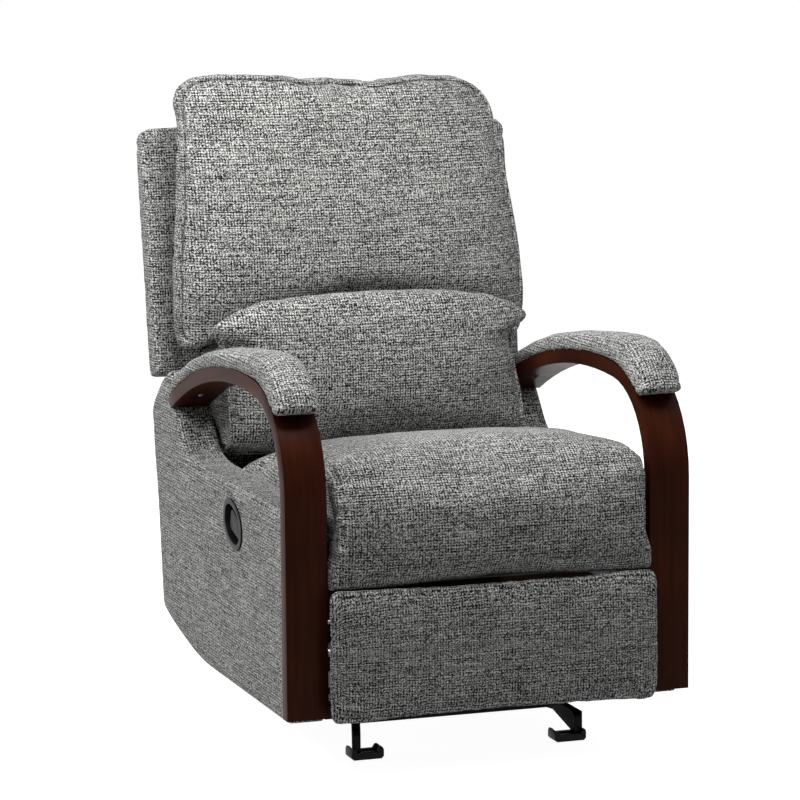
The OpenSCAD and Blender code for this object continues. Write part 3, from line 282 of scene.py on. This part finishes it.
# one colour that varies a little from place to place, with a fine pebbled grain of the given scale
def plainMaterial(name, color, roughness, metallic, grain, grainScale, variation=0.06, shine=0.5):
    made, tree, shader = newMaterial(name)
    place = addNode(tree, "ShaderNodeTexCoord").outputs["Object"]
    spots = addNode(tree, "ShaderNodeTexNoise", {"Vector": place, "Scale": 35.0, "Detail": 4.0}).outputs["Fac"]
    base = linear(color)
    low = [c * (1 - variation * 2) for c in base[:3]] + [1]
    high = [c * (1 + variation * 2) for c in base[:3]] + [1]
    mixed = addNode(tree, "ShaderNodeMix", {"Factor": spots, 6: low, 7: high}, data_type="RGBA")
    tree.links.new(mixed.outputs[2], shader.inputs["Base Color"])
    shader.inputs["Roughness"].default_value = roughness
    shader.inputs["Metallic"].default_value = metallic
    shader.inputs["Specular IOR Level"].default_value = shine
    fine = addNode(tree, "ShaderNodeTexNoise", {"Vector": place, "Scale": grainScale, "Detail": 2.0}).outputs["Fac"]
    bump = addNode(tree, "ShaderNodeBump", {"Height": fine, "Strength": grain, "Distance": 0.0004})
    tree.links.new(bump.outputs[0], shader.inputs["Normal"])
    return made


# stained bentwood: veneer layers under a dark red-brown stain and clear lacquer, fine grain along the strip;
# raw plywood: the same grain, dull, paler than the bentwood but coloured much darker than bare plywood, as painted
# shade for the gaps where it shows
def woodMaterial(name, dark, light, roughness, coat, across):
    made, tree, shader = newMaterial(name)
    place = addNode(tree, "ShaderNodeTexCoord").outputs["Object"]
    stretched = addNode(tree, "ShaderNodeMapping", {"Vector": place, "Scale": (across, 5.0, 5.0)})
    grain = addNode(tree, "ShaderNodeTexNoise", {"Vector": stretched.outputs[0], "Scale": 1.0, "Detail": 5.0,
                                                 "Roughness": 0.6})
    cloud = addNode(tree, "ShaderNodeTexNoise", {"Vector": place, "Scale": 9.0, "Detail": 2.0})
    both = addNode(tree, "ShaderNodeMath", {0: grain.outputs["Fac"], 1: cloud.outputs["Fac"]}, operation="MULTIPLY")
    color = ramp(tree, both.outputs[0], [(0.08, dark), (0.46, light)])
    tree.links.new(color, shader.inputs["Base Color"])
    shader.inputs["Roughness"].default_value = roughness
    shader.inputs["Coat Weight"].default_value = coat
    shader.inputs["Coat Roughness"].default_value = 0.25
    shader.inputs["Specular IOR Level"].default_value = 0.03
    bump = addNode(tree, "ShaderNodeBump", {"Height": grain.outputs["Fac"], "Strength": 0.12, "Distance": 0.0004})
    tree.links.new(bump.outputs[0], shader.inputs["Normal"])
    return made


mahogany = woodMaterial("stainedBentwood", "#2a0e05", "#4e2210", 0.38, 0.03, 110.0)
# plywood in dark browns: painted shade for the gaps where it shows
shadedPly = woodMaterial("shadedPlywood", "#33261a", "#4a3826", 0.8, 0.0, 90.0)
# powder-coated steel and moulded plastic: near black, satin, with a fine orange peel
blackSteel = plainMaterial("blackPowderCoat", "#0c0c0d", 0.5, 0.0, 0.25, 1400.0, shine=0.08)
blackAbs = plainMaterial("blackAbs", "#0d0e10", 0.42, 0.0, 0.18, 1600.0, shine=0.12)
# zinc-plated steel coloured dark grey instead of bright zinc: painted shade for the gaps where it shows
shadedZinc = plainMaterial("shadedZincPlatedSteel", "#4e5053", 0.5, 1.0, 0.1, 700.0)
finish = {"wood_red": mahogany, "tweed": tweed, "black_steel": blackSteel, "black_plastic": blackAbs,
          "zinc": shadedZinc, "plywood": shadedPly}
slots = {part["node"]: part["material_slot"] for part in frame["record"]["subparts"]}
for node, obj in frame["nodes"].items():
    obj.data.materials.clear()
    obj.data.materials.append(finish[slots[node]])
print("materials are made")


# weave coordinates
def faceLoops(mesh):
    loopVerts = np.empty(len(mesh.loops), np.int32)
    mesh.loops.foreach_get("vertex_index", loopVerts)
    normals = np.empty(len(mesh.polygons) * 3)
    mesh.polygons.foreach_get("normal", normals)
    sizes = np.empty(len(mesh.polygons), np.int32)
    mesh.polygons.foreach_get("loop_total", sizes)
    return loopVerts, np.repeat(normals.reshape(-1, 3), sizes, axis=0)


def setWeave(mesh, uv):
    layer = mesh.uv_layers.get("weave") or mesh.uv_layers.new(name="weave")
    layer.data.foreach_set("uv", uv.ravel())
    mesh.uv_layers.active = layer


def rollMap(obj, centre, cut=-90.0, half=0.2):
    # cloth that runs over a roll: across the chair, and along the roll's outline
    co = points(obj)
    cy, cz = centre[0] - setback, centre[1]
    base = math.radians(cut)
    middle = np.abs(co[:, 0] - co[:, 0].mean()) < half
    angle = (np.arctan2(co[:, 2] - cz, co[:, 1] - cy) - base) % (2 * math.pi)
    radius = np.hypot(co[:, 2] - cz, co[:, 1] - cy)
    bins = 240
    where = np.minimum((angle[middle] / (2 * math.pi) * bins).astype(int), bins - 1)
    reach = np.zeros(bins)
    np.maximum.at(reach, where, radius[middle])
    known = np.nonzero(reach)[0]
    reach = np.interp(np.arange(bins), known, reach[known])
    reach = np.convolve(np.r_[reach[-4:], reach, reach[:4]], np.ones(9) / 9, "valid")
    total = np.r_[0, np.cumsum(np.hypot(reach * 2 * math.pi / bins, np.gradient(reach)))]
    along = np.interp(angle / (2 * math.pi) * bins, np.arange(bins + 1), total)
    loopVerts, normals = faceLoops(obj.data)
    side = np.abs(normals[:, 0]) > 0.8
    uv = np.column_stack((co[loopVerts, 0], along[loopVerts]))
    uv[side] = co[loopVerts][side][:, 1:] + (1.3, 0.7)
    setWeave(obj.data, uv)


def boxMap(obj, sideLimit=0.8, topLimit=0.75):
    # cloth laid flat on the front, the sides and the top
    co = points(obj)
    loopVerts, normals = faceLoops(obj.data)
    spot = co[loopVerts]
    side = np.abs(normals[:, 0]) > sideLimit
    top = (np.abs(normals[:, 2]) > topLimit) & ~side
    uv = spot[:, (0, 2)].copy()
    uv[side] = spot[side][:, (1, 2)] + (1.3, 0.7)
    uv[top] = spot[top][:, (0, 1)] + (0.0, 2.0)
    setWeave(obj.data, uv)


# soft pieces
clothSet = {"quality": 4, "mass": 0.4, "tension_stiffness": 18, "compression_stiffness": 18, "shear_stiffness": 8,
            "bending_stiffness": 4, "use_pressure": True}


def puff(obj, spec):
    # a fine even skin, then an inflated cover whose bulge is held below the cap
    applyModifier(obj, "REMESH", mode="VOXEL", voxel_size=spec["voxel"])
    applyModifier(obj, "SMOOTH", factor=0.5, iterations=spec.get("smooth", 2))
    if not spec.get("pressure"):
        return
    applyModifier(obj, "DISPLACE", strength=-spec["shrink"], mid_level=0.0)
    start = points(obj)
    activate(obj)
    mod = obj.modifiers.new("Cloth", "CLOTH")
    for key, value in clothSet.items():
        setattr(mod.settings, key, value)
    mod.settings.uniform_pressure_force = spec["pressure"]
    mod.settings.effector_weights.gravity = 0
    mod.collision_settings.use_collision = False
    mod.point_cache.frame_start, mod.point_cache.frame_end = 1, spec["frames"]
    for tick in range(1, spec["frames"] + 1):
        scene.frame_set(tick)
    bpy.ops.object.modifier_apply(modifier=mod.name)
    scene.frame_set(1)
    moved = points(obj) - start
    length = np.linalg.norm(moved, axis=1)
    moved *= (spec["cap"] * np.tanh(length / spec["cap"]) / np.maximum(length, 1e-9))[:, None]
    setPoints(obj, start + moved)


def fillBox(obj, node, low=(0, 0, 0), high=(0, 0, 0)):
    # the cover is as large as its solid, plus what it stands proud
    co = points(obj)
    a, b = co.min(0), co.max(0)
    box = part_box(node)
    lo, hi = np.array(box[0]) - low, np.array(box[1]) + high
    setPoints(obj, lo + (co - a) * (hi - lo) / (b - a))


def squareOff(obj, spec, where):
    # boxed corners: what the rounding took from the front outline's corners is pulled out again
    co = points(obj)
    x, z = np.abs(co[:, 0]), co[:, 2] - spec["middle"]
    push = np.clip(x / spec["half"] * np.abs(z) / spec["tall"], 0, 1.2) ** 2 * where(co)
    wide = np.minimum(x * (1 + spec["out"] * push), np.maximum(spec["limit"], x))
    co[:, 0] = np.sign(co[:, 0]) * wide
    co[:, 2] += np.sign(z) * spec["up"] * push
    setPoints(obj, co)


def pointNormals(obj):
    out = np.empty(len(obj.data.vertices) * 3)
    obj.data.vertices.foreach_get("normal", out)
    return out.reshape(-1, 3)


def surface(obj):
    return BVHTree.FromPolygons([v.co[:] for v in obj.data.vertices],
                                [p.vertices[:] for p in obj.data.polygons])


def rimPath(obj, inset, count=240, low=-9.0, high=9.0):
    # the outline seen from the front, drawn in by inset and dropped onto the surface
    co = points(obj)
    cx, cz = 0.0, (co[:, 2].min() + co[:, 2].max()) / 2
    angle = np.arctan2(co[:, 2] - cz, co[:, 0] - cx) % (2 * math.pi)
    radius = np.hypot(co[:, 2] - cz, co[:, 0] - cx)
    where = np.minimum((angle / (2 * math.pi) * count).astype(int), count - 1)
    reach = np.zeros(count)
    np.maximum.at(reach, where, radius)
    reach = np.convolve(np.r_[reach[-2:], reach, reach[:2]], np.ones(5) / 5, "valid") * 1.002
    turn = (np.arange(count) + 0.5) / count * 2 * math.pi
    edge = np.column_stack((cx + reach * np.cos(turn), cz + reach * np.sin(turn)))
    tangent = np.roll(edge, -1, 0) - np.roll(edge, 1, 0)
    tangent /= np.linalg.norm(tangent, axis=1)[:, None]
    edge += np.column_stack((-tangent[:, 1], tangent[:, 0])) * inset
    tree, path = surface(obj), []
    for x, z in edge:
        if low < z < high:
            hit = tree.ray_cast(Vector((x, -1.5, z)), Vector((0, 1, 0)))
            if hit[0] is not None:
                path.append((hit[0], hit[1]))
    # start after the widest break, so that an open path stays in one run
    gaps = [(path[i][0] - path[i - 1][0]).length for i in range(len(path))]
    first = int(np.argmax(gaps)) if max(gaps) > 0.03 else 0
    return path[first:] + path[:first]


def ringPath(obj, x, centre, start, end, count=120):
    # once round a roll at one place across the chair
    tree, path = surface(obj), []
    mid = Vector((x, centre[0] - setback, centre[1]))
    for k in range(count):
        a = math.radians(start + (end - start) * k / (count - 1))
        out = Vector((0, math.cos(a), math.sin(a)))
        hit = tree.ray_cast(mid + out * 0.9, -out)
        if hit[0] is not None:
            path.append((hit[0], hit[1]))
    return path


def acrossPath(obj, y, z, half, drop=Vector((0, 0.6, -0.8)), count=90):
    # straight across the chair over a front edge
    tree, path = surface(obj), []
    for k in range(count):
        x = half * (2 * k / (count - 1) - 1)
        hit = tree.ray_cast(Vector((x, y - setback, z)) - drop * 0.3, drop)
        if hit[0] is not None:
            path.append((hit[0], hit[1]))
    return path


def gather(obj, path, width, depth, reach=0.03, rise=0.0, pitch=0.02, seed=0.0):
    # a sewn line: a groove along the path, with puckers that fade away from it
    lookup = KDTree(len(path))
    run = [0.0]
    for i, (spot, _) in enumerate(path):
        lookup.insert(spot, i)
        if i:
            run.append(run[-1] + (spot - path[i - 1][0]).length)
    lookup.balance()
    co, normals = points(obj), pointNormals(obj)
    limit = max(3 * width, 3 * reach if rise else 0)
    for i, spot in enumerate(co):
        _, k, away = lookup.find(spot)
        if away < limit:
            push = -depth * math.exp(-(away / width) ** 2)
            if rise:
                push += rise * math.exp(-away / reach) * noise.noise((run[k] / pitch, seed, away / pitch * 0.22))
            co[i] += normals[i] * push
    setPoints(obj, co)


def ripple(obj, height, size, seed=0.0):
    # slack in the cover, in soft low waves
    co, normals = points(obj), pointNormals(obj)
    for i, spot in enumerate(co):
        at = Vector(spot / size) + Vector((seed, seed * 0.7, -seed))
        co[i] += normals[i] * height * (noise.noise(at) + 0.5 * noise.noise(at * 2.1))
    setPoints(obj, co)


def planeGroove(obj, spot, normal, width, depth, keep=None):
    co, normals = points(obj), pointNormals(obj)
    away = (co - np.array(spot)) @ np.array(normal)
    push = depth * np.exp(-(away / width) ** 2)
    if keep is not None:
        push *= keep(co, normals)
    setPoints(obj, co - normals * push[:, None])


def piping(name, path, radius, sink, closed):
    data = bpy.data.curves.new(name, "CURVE")
    data.dimensions = "3D"
    data.bevel_depth, data.bevel_resolution = radius, 3
    spline = data.splines.new("POLY")
    spline.points.add(len(path) - 1)
    for point, (spot, normal) in zip(spline.points, path):
        point.co = (*(spot + normal * (radius - sink)), 1)
    spline.use_cyclic_u = closed
    data.use_fill_caps = not closed
    made = bpy.data.objects.new(name, data)
    scene.collection.objects.link(made)
    activate(made)
    bpy.ops.object.convert(target="MESH")
    made = bpy.context.object
    boxMap(made)
    return made


def smoothPath(path, rounds=2):
    spots = [p for p, _ in path]
    for _ in range(rounds):
        inner = [(spots[i - 1] + spots[i] * 2 + spots[i + 1]) / 4 for i in range(1, len(spots) - 1)]
        spots = [spots[0]] + inner + [spots[-1]]
    return [(spot, normal) for spot, (_, normal) in zip(spots, path)]


def dressSoft(obj, node, smooth=60):
    finishPiece(obj, node, tweed, smooth)


# seat: a box of foam with a deep front roll, its cover sewn along both ends
seatSet = {"voxel": 0.0075, "pressure": 3.0, "frames": 16, "cap": 0.016, "shrink": 0.002,
           "proud": ((0, 0.001, 0.0012), (0, 0, 0.001)), "bottom": 0.3092, "front": (-0.29, 0.08),
           "corners": {"middle": 0.42, "half": 0.279, "tall": 0.112, "out": 0.10, "up": 0.008, "limit": 0.279},
           "slack": {"height": 0.0022, "size": 0.11, "seed": 4.0}, "roll": (0.150, 0.420), "seamX": 0.262,
           "seamTurn": (-110, -300),
           "seam": {"width": 0.005, "depth": 0.0028, "reach": 0.022, "rise": 0.0045, "pitch": 0.017},
           "creaseAt": (-0.020, 0.505, 0.268),
           "crease": {"width": 0.010, "depth": 0.0022, "reach": 0.03, "rise": 0.0018, "pitch": 0.05, "seed": 9.0}}
seat = copyNode("seat_cushion", "seatCushion")
puff(seat, seatSet)
applyModifier(seat, "SMOOTH", factor=0.5, iterations=2)
fillBox(seat, "seat_cushion", *seatSet["proud"])
squareOff(seat, seatSet["corners"], lambda c: np.clip((seatSet["front"][0] - c[:, 1]) / seatSet["front"][1], 0, 1))
co = points(seat)
co[:, 2] = np.maximum(co[:, 2], seatSet["bottom"])
setPoints(seat, co)
applyModifier(seat, "SUBSURF", levels=1, render_levels=1)
ripple(seat, **seatSet["slack"])
for side in (-1, 1):
    ends = ringPath(seat, side * seatSet["seamX"], seatSet["roll"], *seatSet["seamTurn"])
    gather(seat, ends, **seatSet["seam"], seed=side * 3.0)
gather(seat, acrossPath(seat, *seatSet["creaseAt"]), **seatSet["crease"])
rollMap(seat, seatSet["roll"], -60)
dressSoft(seat, "seat_cushion")
print("seatCushion", len(seat.data.polygons))

# footrest pad: firm, boxed, sewn close to its edges
footSet = {"voxel": 0.006, "pressure": 2.5, "frames": 12, "cap": 0.007, "shrink": 0.001,
           "proud": ((0.003, 0.001, 0.003), (0.002, 0.0, 0.0095)),
           "slack": {"height": 0.0016, "size": 0.10, "seed": 2.0}, "inset": 0.012, "middle": (0.0, 0.200),
           "seam": {"width": 0.005, "depth": 0.0016, "reach": 0.02, "rise": 0.0030, "pitch": 0.018, "seed": 5.0}}
foot = copyNode("foot_pad", "footrestPad")
puff(foot, footSet)
applyModifier(foot, "SMOOTH", factor=0.5, iterations=1)
fillBox(foot, "foot_pad", *footSet["proud"])
applyModifier(foot, "SUBSURF", levels=1, render_levels=1)
ripple(foot, **footSet["slack"])
gather(foot, rimPath(foot, footSet["inset"]), **footSet["seam"])
rollMap(foot, footSet["middle"], 0)
dressSoft(foot, "foot_pad")
print("footrestPad", len(foot.data.polygons))

# lumbar cushion: boxed, piped down both sides
lumbarSet = {"voxel": 0.007, "pressure": 3.5, "frames": 16, "cap": 0.020, "shrink": 0.003,
             "corners": {"middle": 0.57, "half": 0.271, "tall": 0.12, "out": 0.20, "up": 0.030, "limit": 0.2735},
             "shoulders": {"middle": 0.57, "half": 0.300, "tall": 0.125, "out": 0.07, "up": 0.001, "limit": 0.308},
             "proud": (0, 0.002, 0.002), "slack": {"height": 0.0035, "size": 0.13, "seed": 7.0},
             "inset": 0.011, "pipedBelow": 0.640,
             "seam": {"width": 0.006, "depth": 0.0030, "reach": 0.028, "rise": 0.0050, "pitch": 0.020, "seed": 11.0},
             "cord": 0.0034, "sink": 0.0030}
lumbar = copyNode("lumbar_cushion", "lumbarCushion")
puff(lumbar, lumbarSet)
applyModifier(lumbar, "SMOOTH", factor=0.5, iterations=1)
fillBox(lumbar, "lumbar_cushion", lumbarSet["proud"])
squareOff(lumbar, lumbarSet["corners"], lambda c: c[:, 2] < lumbarSet["corners"]["middle"])
squareOff(lumbar, lumbarSet["shoulders"], lambda c: c[:, 2] > lumbarSet["shoulders"]["middle"])
applyModifier(lumbar, "SUBSURF", levels=1, render_levels=1)
ripple(lumbar, **lumbarSet["slack"])
lumbarRim = smoothPath(rimPath(lumbar, lumbarSet["inset"], high=lumbarSet["pipedBelow"]))
gather(lumbar, lumbarRim, **lumbarSet["seam"])
boxMap(lumbar)
dressSoft(lumbar, "lumbar_cushion")
cord = piping("lumbarPiping", lumbarRim, lumbarSet["cord"], lumbarSet["sink"], False)
finishPiece(cord, "lumbar_cushion", tweed, 60)
print("lumbarCushion", len(lumbar.data.polygons))

# head pillow: deep fibre filling, piped all round, gathered into the piping
# its rim stands almost upright at the front, and its sides run in behind the rim
pillowShape = {"front": (0.690, 0.636, 0.27),
               "half": ((0.646, 0.965), (0.730, 1.0), (0.880, 1.012), (1.035, 1.022), (1.068, 1.0), (1.1, 0.94)),
               "tuck": 0.36, "deep": 0.10, "roll": 0.030, "over": (0.719, 0.070, 0.313), "fade": 0.050,
               "tilt": 0.018, "tiltFrom": (0.75, 0.3),
               "corner": 0.030, "cornerX": (0.25, 0.06), "cornerZ": (0.72, 0.06),
               "settle": 0.011, "settleX": (0.15, 0.12), "settleZ": (0.90, 0.15)}


def taper(obj, spec):
    def rise(values, start, span):
        return np.clip((values - start) / span, 0, 1)

    co = points(obj)
    y0, z0, lean = spec["front"]
    behind = np.clip(co[:, 1] + setback - y0 - lean * (co[:, 2] - z0), 0, spec["deep"])
    wide = np.interp(co[:, 2], [h for h, _ in spec["half"]], [k for _, k in spec["half"]])
    side = np.clip((np.abs(co[:, 0]) - 0.16) / 0.14, 0, 1)
    co[:, 0] = co[:, 0] * wide - np.sign(co[:, 0]) * spec["tuck"] * behind * side ** 2
    # the filling has settled a little to one side, and the lower corners hang over the arms
    co[:, 2] -= spec["tilt"] * co[:, 0] * rise(co[:, 2], *spec["tiltFrom"])
    under, span = spec["cornerZ"]
    co[:, 2] -= spec["corner"] * rise(np.abs(co[:, 0]), *spec["cornerX"]) * rise(-co[:, 2], -under, span)
    slump = rise(co[:, 0], *spec["settleX"]) * rise(co[:, 2], *spec["settleZ"])
    co[:, 0] -= spec["settle"] * slump
    co[:, 2] -= spec["settle"] * slump
    # the front rolls under where it meets the cushion below
    top, fall, half = spec["over"]
    above = np.clip(co[:, 2] - (top - fall * np.minimum(1, (co[:, 0] / half) ** 2)), 0, 1)
    co[:, 1] += spec["roll"] * np.exp(-above / spec["fade"]) * np.clip(1 - behind / 0.05, 0, 1)
    setPoints(obj, co)


pillowSet = {"voxel": 0.008, "pressure": 3.5, "frames": 18, "cap": 0.026, "shrink": 0.003,
             "proud": ((0, 0, 0.004), (0, 0, 0.004)), "slack": {"height": 0.0045, "size": 0.16, "seed": 1.0},
             "inset": 0.008, "rimSteps": 300,
             "seam": {"width": 0.006, "depth": 0.0030, "reach": 0.050, "rise": 0.0042, "pitch": 0.032, "seed": 21.0},
             "cord": 0.0042, "sink": 0.0036}
pillow = copyNode("head_pillow", "headPillow")
puff(pillow, pillowSet)
applyModifier(pillow, "SMOOTH", factor=0.5, iterations=2)
fillBox(pillow, "head_pillow", *pillowSet["proud"])
taper(pillow, pillowShape)
applyModifier(pillow, "SUBSURF", levels=1, render_levels=1)
ripple(pillow, **pillowSet["slack"])
pillowRim = smoothPath(rimPath(pillow, pillowSet["inset"], pillowSet["rimSteps"]))
gather(pillow, pillowRim, **pillowSet["seam"])
boxMap(pillow)
dressSoft(pillow, "head_pillow")
cord = piping("pillowPiping", pillowRim, pillowSet["cord"], pillowSet["sink"], True)
finishPiece(cord, "head_pillow", tweed, 60)
print("headPillow", len(pillow.data.polygons))

# arm pads: thin foam pulled over the arm and gathered under the nose
armPadSet = {"voxel": 0.0045, "nose": (0.056, 0.604), "noseUp": (0.0, 0.42, 0.907), "groove": (0.004, 0.0022),
             "slack": {"height": 0.0012, "size": 0.06, "seed": 3.0}, "middle": (0.300, 0.350), "half": 0.03}
for node, name in (("arm_pad_left", "armPadLeft"), ("arm_pad_right", "armPadRight")):
    obj = copyNode(node, name)
    puff(obj, armPadSet)
    applyModifier(obj, "SMOOTH", factor=0.5, iterations=3)
    ripple(obj, **armPadSet["slack"])
    noseY, noseZ = armPadSet["nose"]
    planeGroove(obj, (0, noseY - setback, noseZ), armPadSet["noseUp"], *armPadSet["groove"])
    rollMap(obj, armPadSet["middle"], -90, armPadSet["half"])
    dressSoft(obj, node)

# side panels and outer back: cloth stretched over board and thin foam; the outer back is sewn along its top hem and
# down its sides
coverSet = {"side_panel_left": ("sidePanelLeft", 0.0048), "side_panel_right": ("sidePanelRight", 0.0048),
            "outer_back": ("outerBack", 0.007)}
backSet = {"lean": 10.5, "hem": 0.036, "hemGroove": (0.006, 0.0030), "sideSeam": 0.302, "sideGroove": (0.006, 0.0026),
           "slack": {"height": 0.0012, "size": 0.12, "seed": 6.0}}
for node, (name, voxel) in coverSet.items():
    obj = copyNode(node, name)
    if node == "outer_back":
        puff(obj, {"voxel": voxel})
        applyModifier(obj, "SMOOTH", factor=0.5, iterations=2)
        lean = math.radians(backSet["lean"])
        hemAt = (0, 0.45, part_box(node)[1][2] - backSet["hem"])
        planeGroove(obj, hemAt, (0, math.sin(lean), math.cos(lean)), *backSet["hemGroove"])
        for side in (-1, 1):
            planeGroove(obj, (side * backSet["sideSeam"], 0, 0), (1, 0, 0), *backSet["sideGroove"],
                        lambda c, n: np.abs(n[:, 1]) > 0.6)
        ripple(obj, **backSet["slack"])
    else:
        puff(obj, {"voxel": voxel, "smooth": 1})
    boxMap(obj)
    dressSoft(obj, node, 50)
print("soft pieces are made")


# hard pieces
hardSet = {
    "arm_left": ("bentArmLeft", 0.0025), "arm_right": ("bentArmRight", 0.0025), "foot_caps": ("footCaps", 0.004),
    "latch_cup": ("latchCup", 0.0006), "latch_lever": ("latchPaddle", 0.0008),
    "base_rails": ("baseRails", 0.0008), "base_crossbars": ("baseCrossbars", 0.0008),
}
for node, (name, width) in hardSet.items():
    obj = copyNode(node, name)
    applyModifier(obj, "DECIMATE", decimate_type="DISSOLVE", angle_limit=math.radians(2))
    applyModifier(obj, "BEVEL", width=width, segments=3, limit_method="ANGLE", angle_limit=math.radians(35))
    finishPiece(obj, node, finish[slots[node]])

# rocker springs: the foot of each coil stands on the base; the copy is baked in place and not tied to a body
springs = copyNode("rocker_springs", "rockerSprings")
springs.data.materials.append(finish[slots["rocker_springs"]])
low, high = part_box("rocker_springs")
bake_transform(springs)
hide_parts("rocker_springs")

# the leg ends of the base are pressed steel with a turned-in lip down the front edge
lipSet = {"wide": 0.014, "thick": 0.003, "run": 0.088, "out": 0.0275,
          "edge": ((0.088, 0.0), (0.060, -0.004), (0.022, -0.011), (0.008, -0.015), (0.001, -0.023), (0.0, -0.055))}
low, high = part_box("base_rails")
for side in (-1, 1):
    for end, inward in ((low[1], 1), (high[1], -1)):
        bpy.ops.mesh.primitive_grid_add(x_subdivisions=1, y_subdivisions=24, size=1)
        lip = bpy.context.object
        lip.name = "baseLip" + ("Left" if side < 0 else "Right") + ("Front" if inward > 0 else "Rear")
        co, edge = points(lip), np.array(lipSet["edge"])
        step = np.concatenate(([0], np.cumsum(np.linalg.norm(np.diff(edge, axis=0), axis=1))))
        along = (co[:, 1] + 0.5) * step[-1]
        run, drop = np.interp(along, step, edge[:, 0]), np.interp(along, step, edge[:, 1])
        outer = high[0] - lipSet["out"] * run / lipSet["run"] - 0.001
        across = side * (outer - (co[:, 0] + 0.5) * lipSet["wide"])
        setPoints(lip, np.column_stack((across, end + inward * (run + 0.0005), high[2] + drop - 0.002)))
        applyModifier(lip, "SOLIDIFY", thickness=lipSet["thick"], offset=0)
        applyModifier(lip, "BEVEL", width=0.001, segments=2, limit_method="ANGLE", angle_limit=math.radians(35))
        finishPiece(lip, "base_rails", blackSteel)
print("hard pieces are made")
